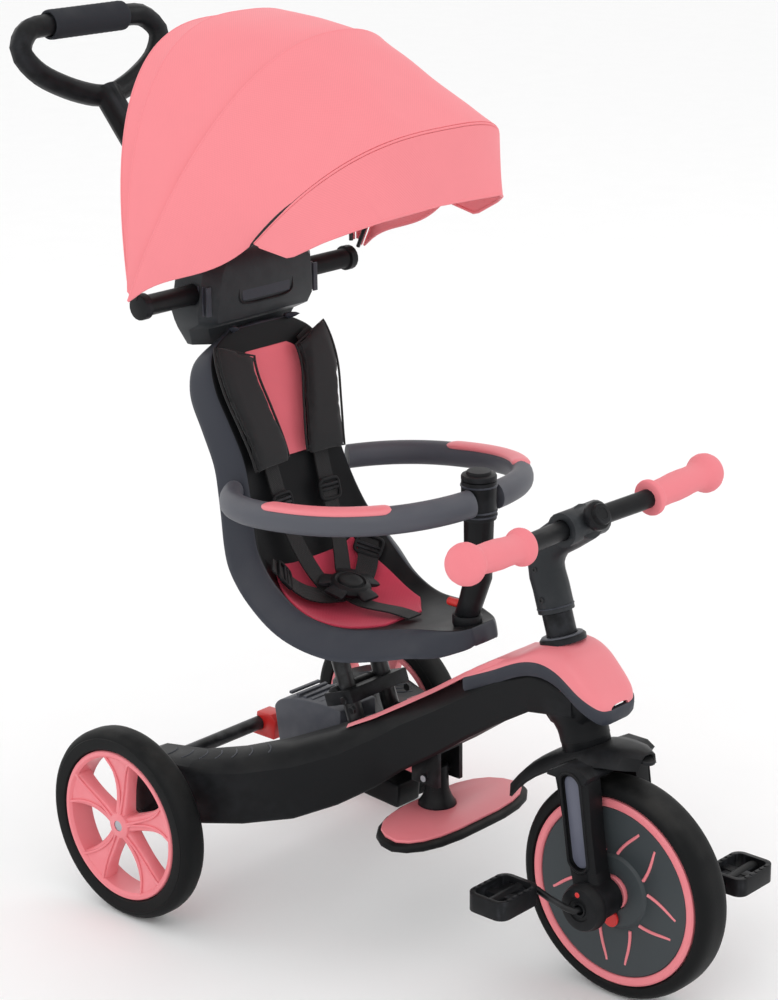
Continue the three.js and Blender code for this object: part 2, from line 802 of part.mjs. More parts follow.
// ---- rear axle, wheels, cross tube and step -------------------------------------------------------
const wheelInnerY = TRACK_Y - REAR_TYRE_W / 2;
const hubNutY = TRACK_Y + 3;
add("rear_axle", bar(REAR_AXLE_R, 2 * hubNutY, "y", rearAxle, 16), steel);
add(
  "cross_tube",
  bar(CROSS_TUBE_R, 316, "y", v3(rearAxle.x, 0, CROSS_TUBE_Z), 16),
  blackSteel,
);
const rearFlat = flatTo(1, WHEEL_FACETS);
const rearWheelPart = (profile) =>
  turned(
    profile.map(([radius, y]) => [radius * rearFlat, y]),
    WHEEL_FACETS,
  );
const spokeCount = 5;
function rearRim() {
  const half = REAR_TYRE_W / 2 - 1;
  const barrel = rearWheelPart([
    [REAR_RIM_R - 9, -half],
    [REAR_RIM_R, -half],
    [REAR_RIM_R, half],
    [REAR_RIM_R - 9, half],
  ]);
  const hub = turned(
    [
      [REAR_AXLE_R + 0.5, -half],
      [15, -half],
      [17, 2],
      [15, 8],
      [REAR_AXLE_R + 0.5, 8],
    ],
    20,
  );
  const spokes = Array.from({ length: spokeCount }, (_, k) => {
    const angle = (k * 2 * Math.PI) / spokeCount + Math.PI / 2;
    const blade = outlineShape([
      [8, -9],
      [45, -12],
      [REAR_RIM_R - 4, -24],
      [REAR_RIM_R - 4, 24],
      [45, 12],
      [8, 9],
    ]);
    return sideSlab(blade, -8, 6).rotateY(-angle);
  });
  const body = join(barrel, hub, ...spokes);
  return cut(body, bar(REAR_AXLE_R + 0.5, 60, "y", v3(0, 0, 0), 20));
}
SIDES.forEach(([side, way]) => {
  const center = v3(rearAxle.x, way * TRACK_Y, rearAxle.z);
  const tyre = rearWheelPart(tyreProfile(REAR_R, REAR_RIM_R, REAR_TYRE_W));
  add(`rear_tyre_${side}`, tyre, rubber, center);
  const rim = rearRim();
  add(`rear_rim_${side}`, way > 0 ? rim : mirrored(rim), coral, center);
});

const stepX0 = -505;
const stepX1 = -396;
const stepOutline = new THREE.Shape();
stepOutline.moveTo(stepX0 + 10, 152);
stepOutline.lineTo(stepX0, 214);
stepOutline.quadraticCurveTo(stepX0 + 2, 226, stepX0 + 30, 232);
stepOutline.quadraticCurveTo(stepX0 + 70, 240, stepX1, 236);
stepOutline.lineTo(stepX1, 160);
stepOutline.lineTo(stepX0 + 10, 152);
const stepHalf = 31;
add(
  "step_box",
  cut(
    sideSlab(stepOutline, -stepHalf, stepHalf),
    frameSolid.clone().translate(0, GAP, 0),
    frameSolid.clone().translate(0, -GAP, 0),
    frameSolid.clone().translate(GAP, 0, 0),
    postBore(-1),
    postBore(1),
  ),
  darkGrey,
);
const latchProfile = outlineShape([
  [-30, -16],
  [14, -16],
  [18, 8],
  [10, 16],
  [-14, 15],
  [-17, -2],
]);
const latchTool = bar(CROSS_TUBE_R + GAP, 60, "y", v3(0, 0, 0), 16);
add(
  "step_latch",
  cut(sideSlab(latchProfile, -11, 11).translate(12, 0, 0), latchTool),
  red,
  v3(rearAxle.x, 0, CROSS_TUBE_Z),
);

// ---- footrest -------------------------------------------------------------------------------------
const HINGE = v3(-272, 0, 184); // footrest fold pin
const columnTop = 205;
const columnProfile = [
  [0, FOOTREST_Z + 3],
  [22, FOOTREST_Z + 3],
  [22, FOOTREST_Z + 8],
  [18, FOOTREST_Z + 14],
  [14, FOOTREST_Z + 24],
  [13, columnTop - 10],
  [0, columnTop - 10],
];
const bracketEars = cut(
  new THREE.BoxGeometry(40, 44, 46).translate(HINGE.x, 0, 199),
  new THREE.BoxGeometry(60, 32, 60).translate(HINGE.x, 0, 199),
  bar(4.3, 80, "y", HINGE, 12),
);
const bracketBridge = new THREE.BoxGeometry(40, 44, 8).translate(HINGE.x, 0, 222);
add(
  "footrest_bracket",
  cut(
    join(bracketEars, bracketBridge),
    frameSolid.clone().translate(0, 0, -GAP),
    frameSolid.clone().translate(-GAP, 0, -GAP),
  ),
  black,
);
add("footrest_pin", bar(4, 50, "y", HINGE, 12), steel);
const footPlate = (grow) => {
  const half = FOOTREST_HALF_SPAN + grow;
  const shape = new THREE.Shape();
  shape.moveTo(FOOTREST_X - 42 - grow, -30);
  shape.quadraticCurveTo(FOOTREST_X - 30, -half, FOOTREST_X + 22, -half);
  shape.quadraticCurveTo(FOOTREST_X + 66 + grow, -half * 0.9, FOOTREST_X + 62 + grow, 0);
  shape.quadraticCurveTo(FOOTREST_X + 66 + grow, half * 0.9, FOOTREST_X + 22, half);
  shape.quadraticCurveTo(FOOTREST_X - 30, half, FOOTREST_X - 42 - grow, 30);
  shape.lineTo(FOOTREST_X - 42 - grow, -30);
  return shape;
};
const padTopZ = FOOTREST_Z + 6;
const columnSolid = cut(
  turnedUp(columnProfile.slice().reverse(), 24).translate(HINGE.x, 0, 0),
  bar(4.3, 60, "y", HINGE, 12),
);
add("footrest_column", columnSolid, black);
add(
  "footrest_base",
  flatSlab(footPlate(0), FOOTREST_Z - FOOTREST_THICK / 2, FOOTREST_Z + 2 - GAP, 5),
  rubber,
);
add(
  "footrest_pad",
  cut(
    flatSlab(footPlate(-8), FOOTREST_Z + 2, padTopZ, 5),
    turnedUp(
      [
        [0, FOOTREST_Z + 12],
        [22 + GAP, FOOTREST_Z + 12],
        [22 + GAP, FOOTREST_Z],
        [0, FOOTREST_Z],
      ],
      24,
    ).translate(HINGE.x, 0, 0),
  ),
  coral,
);

// ---- seat posts and clamp -------------------------------------------------------------------------
const SEAT_BASE_Z = 322;
const leanDirection = v3(-Math.sin(SEAT_POST_LEAN), 0, Math.cos(SEAT_POST_LEAN));
SIDES.forEach(([side, way]) => {
  add(
    `seat_post_${side}`,
    strut(postAt(194, way * POST_Y), postAt(SEAT_BASE_Z, way * POST_Y), SEAT_POST_R, 16),
    blackSteel,
  );
});
const clampCenter = postAt(262, 0);
const clampBlock = new THREE.BoxGeometry(44, 98, 16);
add(
  "seat_clamp",
  cut(
    clampBlock.rotateY(-SEAT_POST_LEAN).translate(clampCenter.x, 0, clampCenter.z),
    strut(postAt(180, -POST_Y), postAt(330, -POST_Y), SEAT_POST_R + GAP, 16),
    strut(postAt(180, POST_Y), postAt(330, POST_Y), SEAT_POST_R + GAP, 16),
  ),
  black,
);

// ---- seat -----------------------------------------------------------------------------------------
// Stations from the front lip round to the top of the back:
// x, z of the middle, half width, how far the edge stands up (x, z).
// Centre line of the seat surface from the nose to the top: x, z, half width, and how far the
// edge lies ahead of and above the centre line.
const seatStations = [
  [-198, 389, 17, 0, 0],
  [-208, 387, 29, 0, 0],
  [-228, 383, 41, 0, 2],
  [-262, 374, 55, 0, 9],
  [-300, 365, 70, 0, 9],
  [-345, 357, 84, 0, 12],
  [-390, 353, 95, -2, 26],
  [-428, 362, 99, 0, 42],
  [-455, 388, 98, 2, 42],
  [-473, 428, 93, 6, 24],
  [-488, 480, 84, 7, 10],
  [-500, 530, 79, 4, 4],
  [-513, 575, 86, 2, 2],
  [-526, 620, 94, 0, 0],
  [-537, 656, 84, -2, 0],
  [-543, 677, 48, -2, 0],
];
const seatField = (row, field) =>
  along(
    seatStations.map((station, k) => [k, station[field]]),
    row,
  );
const seatPoint = (row, v) => {
  const [x, z, half, riseX, riseZ] = [0, 1, 2, 3, 4].map((field) => seatField(row, field));
  const bend = Math.abs(v) ** 3;
  return v3(x + riseX * bend, half * Math.sign(v) * Math.abs(v) ** 0.8, z + riseZ * bend);
};
const seatRows = (first, last, perRow) =>
  Array.from({ length: Math.round((last - first) * perRow) + 1 }, (_, i) => first + i / perRow);
const seatGrid = seatRows(0, 15, 1).map((row) =>
  Array.from({ length: 9 }, (_, j) => seatPoint(row, 1 - j / 4)),
);
// The rim folds back into a band all round the surface.
function withBand(grid, depthAt, flare) {
  const lastRow = grid.length - 1;
  const lastColumn = grid[0].length - 1;
  const back = grid.map((row, i) => {
    const moved = liftRows(grid, -depthAt(i));
    return moved[i];
  });
  const pick = (i, j) => grid[Math.min(Math.max(i, 0), lastRow)][Math.min(Math.max(j, 0), lastColumn)];
  return Array.from({ length: lastRow + 3 }, (_, a) =>
    Array.from({ length: lastColumn + 3 }, (_, b) => {
      const i = Math.min(Math.max(a - 1, 0), lastRow);
      const j = Math.min(Math.max(b - 1, 0), lastColumn);
      if (i === a - 1 && j === b - 1) return grid[i][j];
      const point = back[i][j].clone();
      if (i !== a - 1) {
        const inward = pick(i === 0 ? 1 : lastRow - 1, j);
        point.add(grid[i][j].clone().sub(inward).setLength(flare));
      }
      if (j !== b - 1) {
        const inward = pick(i, j === 0 ? 1 : lastColumn - 1);
        point.add(grid[i][j].clone().sub(inward).setLength(flare));
      }
      return point;
    }),
  );
}
const bandDepth = (row) =>
  SEAT_BAND *
  along(
    [
      [0, 0.45],
      [3, 0.6],
      [6, 0.85],
      [9, 0.9],
      [13, 1],
      [14, 0.7],
      [15, 0.2],
    ],
    row,
  );
const noseX = seatStations[2][0] + 2;
const noseZ = seatStations[0][1] + 2;
const noseBoss = loft([
  ovalRing(noseX, 0, noseZ - 14, 17, 15),
  ovalRing(noseX, 0, noseZ - GAP, 17, 15),
]);
const seatWall = sheet(withBand(seatGrid, bandDepth, 2), -SEAT_WALL);
const seatBlock = new THREE.BoxGeometry(70, 96, 44).translate(
  postAt(SEAT_BASE_Z, 0).x,
  0,
  SEAT_BASE_Z + 10,
);
const postSockets = [1, -1].map((way) =>
  strut(
    postAt(SEAT_BASE_Z - 40, way * POST_Y),
    postAt(SEAT_BASE_Z + 5, way * POST_Y),
    SEAT_POST_R + GAP,
    16,
  ),
);
add("seat_shell", cut(join(seatWall, seatBlock, noseBoss), ...postSockets), black);

// Panels and straps follow the seat surface at a small lift.
function seatPatch(rows, reach, lift, thickness) {
  const grid = rows.map((row, i) =>
    Array.from({ length: 7 }, (_, j) => seatPoint(row, (1 - j / 3) * reach(i / (rows.length - 1)))),
  );
  return sheet(liftRows(grid, lift), thickness);
}
add(
  "seat_back_panel",
  seatPatch(seatRows(11, 14, 2), (share) => lerp(0.1, 0.42, share ** 0.6), 0.6, 2.5),
  coral,
);
add(
  "seat_base_pad",
  seatPatch(seatRows(4.5, 8.5, 2), (share) => 0.5 + 0.18 * Math.sin(Math.PI * share), 2.4, 4),
  coral,
);
function seatNormal(row, v) {
  const up = seatPoint(row + 0.3, v).sub(seatPoint(row - 0.3, v));
  const side = seatPoint(row, v - 0.1).sub(seatPoint(row, v + 0.1));
  return up.cross(side).normalize();
}
// A strap along [row, v, lift] stops, of one width and thickness.
function strap(stops, width, thickness) {
  const centres = stops.map(([row, v, lift]) => {
    const normal = seatNormal(row, v);
    return { point: seatPoint(row, v).addScaledVector(normal, lift), normal };
  });
  const grid = centres.map(({ point, normal }, i) => {
    const before = centres[Math.max(i - 1, 0)].point;
    const after = centres[Math.min(i + 1, centres.length - 1)].point;
    const side = after.clone().sub(before).cross(normal).setLength(width / 2);
    return [-1, 0, 1].map((way) => point.clone().addScaledVector(side, way));
  });
  return sheet(grid, thickness);
}
SIDES.forEach(([side, way]) => {
  const stops = [
    [13.9, way * 0.62, 10],
    [13.4, way * 0.6, 12],
    [12.6, way * 0.56, 14],
    [11.6, way * 0.5, 14],
    [10.8, way * 0.44, 13],
  ];
  add(`shoulder_pad_${side}`, strap(stops, 52, -8), padCloth);
});

// ---- harness --------------------------------------------------------------------------------------
// Shoulder straps, hip straps and crotch strap meet under the round buckle.
const buckleRow = 6.6;
const harness = join(
  ...[1, -1].map((way) =>
    strap(
      [
        [14, way * 0.62, 4.6],
        [13.4, way * 0.6, 4.8],
        [12.6, way * 0.56, 5],
        [11.6, way * 0.5, 5.2],
        [10.6, way * 0.44, 6.4],
        [9.6, way * 0.36, 12],
        [8.4, way * 0.22, 17],
        [7.7, way * 0.14, 15],
        [7.2, way * 0.1, 14],
        [6.6, way * 0.03, 14],
      ],
      22,
      -2.2,
    ),
  ),
  ...[1, -1].map((way) =>
    strap(
      [
        [8.1, way * 0.86, 6],
        [7.9, way * 0.76, 9],
        [7.5, way * 0.6, 12],
        [7.1, way * 0.35, 14],
        [6.7, way * 0.05, 14],
      ],
      26,
      -2.2,
    ),
  ),
  strap(
    [
      [4.1, 0, 3],
      [4.7, 0, 9],
      [5.4, 0, 11],
      [6.6, 0, 14],
    ],
    22,
    -2.2,
  ),
);
add("harness_webbing", harness, webbing);
const buckleTilt = new THREE.Quaternion().setFromUnitVectors(
  v3(0, 0, 1),
  seatNormal(buckleRow, 0),
);
const buckleFoot = seatPoint(buckleRow, 0).addScaledVector(seatNormal(buckleRow, 0), 23);
add(
  "harness_buckle",
  turnedUp(
    [
      [0, 0],
      [24, 0],
      [26, 5],
      [22, 11],
      [0, 13],
    ],
    20,
  )
    .applyQuaternion(buckleTilt)
    .translate(buckleFoot.x, buckleFoot.y, buckleFoot.z),
  black,
);

// ---- safety ring ----------------------------------------------------------------------------------
const ringMiddleX = (RING_FRONT_X + RING_REAR_X) / 2;
const ringReach = (RING_FRONT_X - RING_REAR_X) / 2;
const ringZ = (x) => RING_SIDE_Z + RING_TILT * (x - ringMiddleX);
const ringPoint = (degrees, way) => {
  const t = THREE.MathUtils.degToRad(degrees);
  const x = ringMiddleX + ringReach * Math.sign(Math.cos(t)) * Math.abs(Math.cos(t)) ** 0.85;
  const y = way * RING_HALF_WIDTH * Math.abs(Math.sin(t)) ** 0.85;
  return v3(x, y, ringZ(x));
};
const POST_X = -209;
const postCapZ = ringZ(POST_X) + 27;
const postHub = bar(20 + GAP, 90, "z", v3(POST_X, 0, ringZ(POST_X)), 20);
const seatFlank = new THREE.BoxGeometry(120, 194, 80).translate(RING_REAR_X + 20, 0, RING_SIDE_Z - 16);
const ringStops = [5, 16, 30, 45, 60, 75, 90, 105, 120, 135, 150];
SIDES.forEach(([side, way]) => {
  const tube = swept(
    ringStops.map((degrees) => ringPoint(degrees, way)),
    circle(RING_TUBE_R),
    22,
  );
  add(`ring_half_${side}`, cut(tube, postHub, seatFlank), black);
});
const postBody = join(
  loft([
    ovalRing(noseX, 0, noseZ, 15, 13),
    ovalRing(noseX + 6, 0, noseZ + 16, 15, 14),
    ovalRing(POST_X - 1, 0, noseZ + 46, 16, 16),
    ovalRing(POST_X, 0, ringZ(POST_X) - 16, 17, 18),
  ]),
  bar(20, 44, "z", v3(POST_X, 0, ringZ(POST_X)), 20),
);
const buttonBore = bar(13 + GAP, 30, "z", v3(POST_X, 0, postCapZ), 20);
const releaseAt = v3(noseX - 15, 0, noseZ + 9);
const releaseBore = bar(5 + GAP, 24, "x", releaseAt, 12);
add("ring_post", cut(postBody, buttonBore, releaseBore), black);
add(
  "ring_button",
  turnedUp(
    [
      [0, -9],
      [13, -9],
      [13, -2],
      [24, -2],
      [24, 1],
      [20, 4],
      [0, 5],
    ],
    24,
  ).translate(POST_X, 0, postCapZ),
  black,
);
add("ring_release", bar(5, 20, "x", releaseAt.clone().add(v3(-2, 0, 0)), 12), red);

// ---- head box, push pole and handle ---------------------------------------------------------------
const boxRing = (z, rear, front, half, corner = 16) => [
  v3(rear, half - corner, z),
  v3(rear, -half + corner, z),
  v3(rear + corner, -half, z),
  v3(front - corner, -half, z),
  v3(front, -half + corner, z),
  v3(front, half - corner, z),
  v3(front - corner, half, z),
  v3(rear + corner, half, z),
];
const POLE_ENTRY = v3(-604, 0, 712);
const poleDirection = v3(-1, 0, 1).normalize();
const onPole = (distance) => POLE_ENTRY.clone().addScaledVector(poleDirection, distance);
const boxBody = loft([
  boxRing(659, -604, -564, 76),
  boxRing(680, -609, -558, 86),
  boxRing(690, -610, -538, 90),
  boxRing(702, -610, -534, 94),
  boxRing(748, -606, -530, 88),
  boxRing(766, -598, -534, 74),
  boxRing(774, -590, -544, 58),
]);
const collar = strut(onPole(-8), onPole(24), POLE_SLEEVE_R + 5, 20);
const poleBore = strut(onPole(-36), onPole(60), POLE_R + GAP, 18);
const tubeBore = bar(CANOPY_TUBE_R + GAP, 260, "y", v3(CANOPY_X, 0, CANOPY_Z), 18);
add("head_box", cut(join(boxBody, collar), poleBore, tubeBore), black);

const POLE_TOP = 212;
const handleDirection = v3(0.34, 0, -0.94).normalize();
const handlePoint = (distance, y) => v3(-828, y, 1006).addScaledVector(handleDirection, distance);
const loopHalf = (way) =>
  bentTube(
    [
      [0, -2],
      [0, 24],
      [0, 60],
      [4, HANDLE_HALF_WIDTH - 18],
      [26, HANDLE_HALF_WIDTH],
      [52, HANDLE_HALF_WIDTH - 14],
      [76, HANDLE_HALF_WIDTH - 52],
      [91, 16],
      [93, -2],
    ].map(([distance, y]) => handlePoint(distance, way * y)),
    HANDLE_TUBE_R,
    26,
    4,
  );
const neckTop = handlePoint(86, 0);
const neckBore = strut(onPole(80), onPole(POLE_TOP + 1), POLE_R + GAP, 18);
const neckTube = strut(onPole(92), neckTop, POLE_SLEEVE_R, 20);
add("push_pole", strut(onPole(-34), onPole(POLE_TOP), POLE_R, 18), steel);
add("push_handle", cut(join(loopHalf(1), loopHalf(-1), neckTube), neckBore), black);
add(
  "handle_sleeve",
  cut(
    bar(HANDLE_TUBE_R + 4.5, 118, "y", handlePoint(0, 0), 20),
    bar(HANDLE_TUBE_R + GAP + 0.6, 130, "y", handlePoint(0, 0), 20),
  ),
  foam,
);

// ---- canopy ---------------------------------------------------------------------------------------
const lugs = [1, -1].map((way) =>
  bar(15, 8, "y", v3(CANOPY_X, way * BRACKET_Y, CANOPY_Z), 18),
);
const pivotTube = bar(CANOPY_TUBE_R, 2 * BRACKET_Y, "y", v3(CANOPY_X, 0, CANOPY_Z), 18);
add("canopy_tube", join(pivotTube, ...lugs), black);

const degrees = THREE.MathUtils.degToRad;
const aroundPivot = (angle, reach, y) =>
  v3(CANOPY_X + reach * Math.cos(degrees(angle)), y, CANOPY_Z + reach * Math.sin(degrees(angle)));
// One rounded arch over the child: s runs from -1 at one side to 1 at the other.
const arch = ({ angle, reach, width, power }, s, inset = 0) => {
  const t = s * Math.PI * 0.492;
  const y = (width - inset) * Math.sign(t) * Math.abs(Math.sin(t)) ** (2 / power);
  return { angle, reach: (reach - inset) * Math.cos(t) ** (2 / power), y };
};
const blend = (a, b, t) => aroundPivot(
  lerp(a.angle, b.angle, t),
  lerp(a.reach, b.reach, t),
  lerp(a.y, b.y, t),
);
const across = (count) => Array.from({ length: count }, (_, j) => (2 * j) / (count - 1) - 1);
const archPanel = (rear, front, rows) =>
  sheet(
    Array.from({ length: rows }, (_, i) =>
      across(17).map((s) => blend(arch(rear, s), arch(front, s), i / (rows - 1))),
    ),
    -CANOPY_WALL,
  );
const rearArch = { angle: 97, reach: 306, width: 184, power: 2.7 };
const archA = { angle: 89.8, reach: 309, width: 183, power: 2.7 };
const archA2 = { angle: 89.2, reach: 313, width: 188, power: 2.7 };
const archB = { angle: 64.2, reach: 333, width: 189, power: 2.3 };
const archB2 = { angle: 63.6, reach: 337, width: 194, power: 2.3 };
add("canopy_rear", archPanel(rearArch, archA, 3), cloth);
add("canopy_mid", archPanel(archA2, archB, 4), cloth);

// The front edge of the roof, where the visor folds down.
const FOLD_HALF_WIDTH = 158;
const visorFold = (s, drop = 0) => {
  const t = s * Math.PI * 0.5;
  const y = FOLD_HALF_WIDTH * Math.sign(t) * Math.abs(Math.sin(t)) ** (2 / 2.9);
  const share = Math.max(Math.cos(t), 0) ** (2 / 2.9);
  return v3(-392 + 133 * share + drop * 0.5, y, 820 + 116 * share - drop);
};
const roofPoint = (t, s) => {
  const rear = arch(archB2, s);
  const fold = visorFold(s);
  const front = {
    angle: THREE.MathUtils.radToDeg(Math.atan2(fold.z - CANOPY_Z, fold.x - CANOPY_X)),
    reach: Math.hypot(fold.z - CANOPY_Z, fold.x - CANOPY_X),
    y: fold.y,
  };
  const sag = Math.abs(s) ** 6;
  const share = t ** lerp(1, 0.4, sag);
  const angle = lerp(rear.angle, front.angle, share) - 8 * sag * Math.sin(Math.PI * t);
  const hem = aroundPivot(angle, lerp(rear.reach, front.reach, t), lerp(rear.y, front.y, t));
  return aroundPivot(rear.angle, rear.reach, rear.y).lerp(fold, t).lerp(hem, sag);
};
const roofGrid = Array.from({ length: 6 }, (_, i) => across(17).map((s) => roofPoint(i / 5, s)));
add("canopy_front", sheet(roofGrid, -CANOPY_WALL), cloth);
const visorStops = [
  [0, -262, 0, 852],
  [0.5, -261, 98, 849],
  [0.62, -280, 124, 840],
  [0.74, -303, 143, 829],
  [0.88, -344, 153, 808],
  [1, -384, 157, 815],
];
const visorEdge = (s) => {
  const [x, y, z] = [1, 2, 3].map((field) =>
    along(
      visorStops.map((stop) => [stop[0], stop[field]]),
      Math.abs(s),
    ),
  );
  return v3(x, y * Math.sign(s), z);
};
const visorGrid = Array.from({ length: 4 }, (_, i) =>
  across(17).map((s) => visorFold(s, 3).lerp(visorEdge(s), i / 3)),
);
add("canopy_visor", sheet(visorGrid, -CANOPY_WALL), cloth);

// The group stands on the ground plane with the middle of its length at the origin.
const extent = new THREE.Box3().setFromObject(tricycle);
tricycle.position.x = -(extent.min.x + extent.max.x) / 2;
tricycle.updateMatrixWorld(true);

export default tricycle;
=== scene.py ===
import bmesh
import bpy
from math import atan2, copysign, cos, degrees, hypot, pi, radians, sin
from mathutils import Matrix, Vector, noise


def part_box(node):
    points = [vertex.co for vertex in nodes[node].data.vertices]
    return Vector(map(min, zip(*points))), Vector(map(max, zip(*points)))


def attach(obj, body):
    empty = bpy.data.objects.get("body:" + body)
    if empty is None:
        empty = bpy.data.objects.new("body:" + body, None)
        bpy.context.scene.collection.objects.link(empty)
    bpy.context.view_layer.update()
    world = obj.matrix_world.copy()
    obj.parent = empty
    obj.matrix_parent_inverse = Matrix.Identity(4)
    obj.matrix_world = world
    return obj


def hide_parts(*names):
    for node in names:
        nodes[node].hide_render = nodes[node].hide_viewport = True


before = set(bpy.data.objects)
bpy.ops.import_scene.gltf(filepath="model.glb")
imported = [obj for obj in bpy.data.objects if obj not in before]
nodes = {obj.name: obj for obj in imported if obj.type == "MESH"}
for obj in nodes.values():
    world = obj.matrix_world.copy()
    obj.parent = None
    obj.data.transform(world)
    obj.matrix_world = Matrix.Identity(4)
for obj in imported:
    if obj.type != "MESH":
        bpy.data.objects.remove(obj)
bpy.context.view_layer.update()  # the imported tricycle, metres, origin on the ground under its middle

across = Vector((0, 1, 0))
upwards = Vector((0, 0, 1))
sides = {"right": -1, "left": 1}

tyreLow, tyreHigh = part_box("front_tyre")
axleX = (tyreLow.x + tyreHigh.x) / 2


# millimetres, counted from the ground point below the front axle
def at(x, y, z):
    return Vector((axleX + x / 1000, y / 1000, z / 1000))


frontAxle = at(0, 0, 127)
rearAxle = at(-553.7, 0, 116.2)
steerDirection = Vector((-sin(radians(17)), 0, cos(radians(17))))

def deselectAll():
    if bpy.context.object and bpy.context.object.mode != "OBJECT":
        bpy.ops.object.mode_set(mode="OBJECT")
    bpy.ops.object.select_all(action="DESELECT")


def onlySelect(piece):
    deselectAll()
    piece.select_set(True)
    bpy.context.view_layer.objects.active = piece


def named(name):
    piece = bpy.context.object
    piece.name = name
    piece.data.name = name
    return piece


def setPlace(piece):  # the place goes into the mesh, the object goes to the origin
    onlySelect(piece)
    bpy.ops.object.transform_apply(location=True, rotation=True, scale=True)


def editPart(piece):
    onlySelect(piece)
    bpy.ops.object.mode_set(mode="EDIT")


def outwards(piece):
    editPart(piece)
    bpy.ops.mesh.select_all(action="SELECT")
    bpy.ops.mesh.remove_doubles(threshold=0.00002)
    bpy.ops.mesh.normals_make_consistent(inside=False)
    bpy.ops.object.mode_set(mode="OBJECT")


def smooth(piece, angle=35):
    onlySelect(piece)
    bpy.ops.object.shade_smooth_by_angle(angle=radians(angle))


def useModifier(piece, kind, **settings):
    onlySelect(piece)
    modifier = piece.modifiers.new(kind.lower(), kind)
    for key, value in settings.items():
        setattr(modifier, key, value)
    bpy.ops.object.modifier_apply(modifier=modifier.name)


def softenEdges(piece, width, segments=2, angle=38):
    useModifier(
        piece, "BEVEL", width=width, segments=segments, limit_method="ANGLE",
        angle_limit=radians(angle), harden_normals=False,
    )


def subdivide(piece, levels=1):
    useModifier(piece, "SUBSURF", levels=levels, render_levels=levels)


def thicken(piece, thickness, offset=-1.0):
    useModifier(piece, "SOLIDIFY", thickness=thickness, offset=offset, use_even_offset=True)


def paintWith(piece, *materials):
    if list(piece.data.materials) != list(materials):
        piece.data.materials.clear()
        for material in materials:
            piece.data.materials.append(material)


# every new piece ends here: its smooth shading, its paint, its body and what it stands for
def fit(piece, body, material, slot, stoodFor=(), angle=35):
    smooth(piece, angle)
    paintWith(piece, *(material if isinstance(material, (list, tuple)) else [material]))
    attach(piece, body)
    if stoodFor:
        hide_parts(*stoodFor)
    return piece


# a smooth value, or list of values, at place t between the stops
def between(stops, t):
    i = min(max(int(t), 0), len(stops) - 2)
    f = t - i
    a, b = stops[max(i - 1, 0)], stops[i]
    c, d = stops[i + 1], stops[min(i + 2, len(stops) - 1)]
    return [
        0.5 * (2 * q + (r - p) * f + (2 * p - 5 * q + 4 * r - s) * f * f
               + (3 * q - p - 3 * r + s) * f**3)
        for p, q, r, s in zip(a, b, c, d)
    ]


def smoothLine(stops, perSpan=8):
    count = (len(stops) - 1) * perSpan
    return [between(stops, i / perSpan) for i in range(count)] + [list(stops[-1])]


def joinPieces(name, pieces):
    deselectAll()
    for piece in pieces:
        piece.select_set(True)
    bpy.context.view_layer.objects.active = pieces[0]
    if len(pieces) > 1:
        bpy.ops.object.join()
    return named(name)


# a circle drawn out along its axis and resized at each station of (radius, place)
def turned(name, centre, axis, profile, count=64, ring=False):
    deselectAll()
    firstRadius, firstPlace = profile[0]
    bpy.ops.mesh.primitive_circle_add(
        vertices=count, radius=firstRadius / 1000, fill_type="NOTHING",
        location=centre + axis * firstPlace / 1000,
        rotation=upwards.rotation_difference(axis).to_euler(),
    )
    piece = named(name)
    setPlace(piece)
    editPart(piece)
    bpy.ops.mesh.select_mode(type="EDGE")
    bpy.ops.mesh.select_all(action="SELECT")
    radius, place = firstRadius, firstPlace
    for nextRadius, nextPlace in profile[1:]:
        move = axis * (nextPlace - place) / 1000
        bpy.ops.mesh.extrude_edges_move(TRANSFORM_OT_translate={"value": move})
        scale = nextRadius / radius
        bpy.ops.transform.resize(
            value=(scale, scale, scale), center_override=centre + axis * nextPlace / 1000,
        )
        radius, place = nextRadius, nextPlace
    bpy.ops.mesh.select_all(action="DESELECT")
    bpy.ops.mesh.select_non_manifold()
    if ring:
        bpy.ops.mesh.bridge_edge_loops()
    else:
        bpy.ops.mesh.fill_holes(sides=0)
    bpy.ops.object.mode_set(mode="OBJECT")
    outwards(piece)
    return piece


# a cube at its size and place, turned about Y, its edges rounded
def block(name, centre, size, lean=0, edge=2.0, segments=3):
    deselectAll()
    bpy.ops.mesh.primitive_cube_add(size=1, location=centre, rotation=(0, radians(lean), 0))
    piece = named(name)
    piece.scale = [value / 1000 for value in size]
    setPlace(piece)
    editPart(piece)
    bpy.ops.mesh.select_all(action="SELECT")
    bpy.ops.mesh.bevel(offset=edge / 1000, segments=segments, profile=0.7)
    bpy.ops.object.mode_set(mode="OBJECT")
    return piece


# a round tube along points, as a bevelled curve made mesh
def tube(name, points, radius, roundness=4, closedLoop=False):
    deselectAll()
    bpy.ops.curve.primitive_bezier_curve_add()
    line = named(name)
    line.data.splines.clear()
    spline = line.data.splines.new("POLY")
    spline.points.add(len(points) - 1)
    for point, place in zip(spline.points, points):
        point.co = (place[0], place[1], place[2], 1)
    spline.use_cyclic_u = closedLoop
    line.location = (0, 0, 0)
    line.data.dimensions = "3D"
    line.data.bevel_depth = radius / 1000
    line.data.bevel_resolution = roundness
    line.data.use_fill_caps = not closedLoop
    bpy.ops.object.convert(target="MESH")
    piece = bpy.context.object
    setPlace(piece)
    outwards(piece)
    return piece


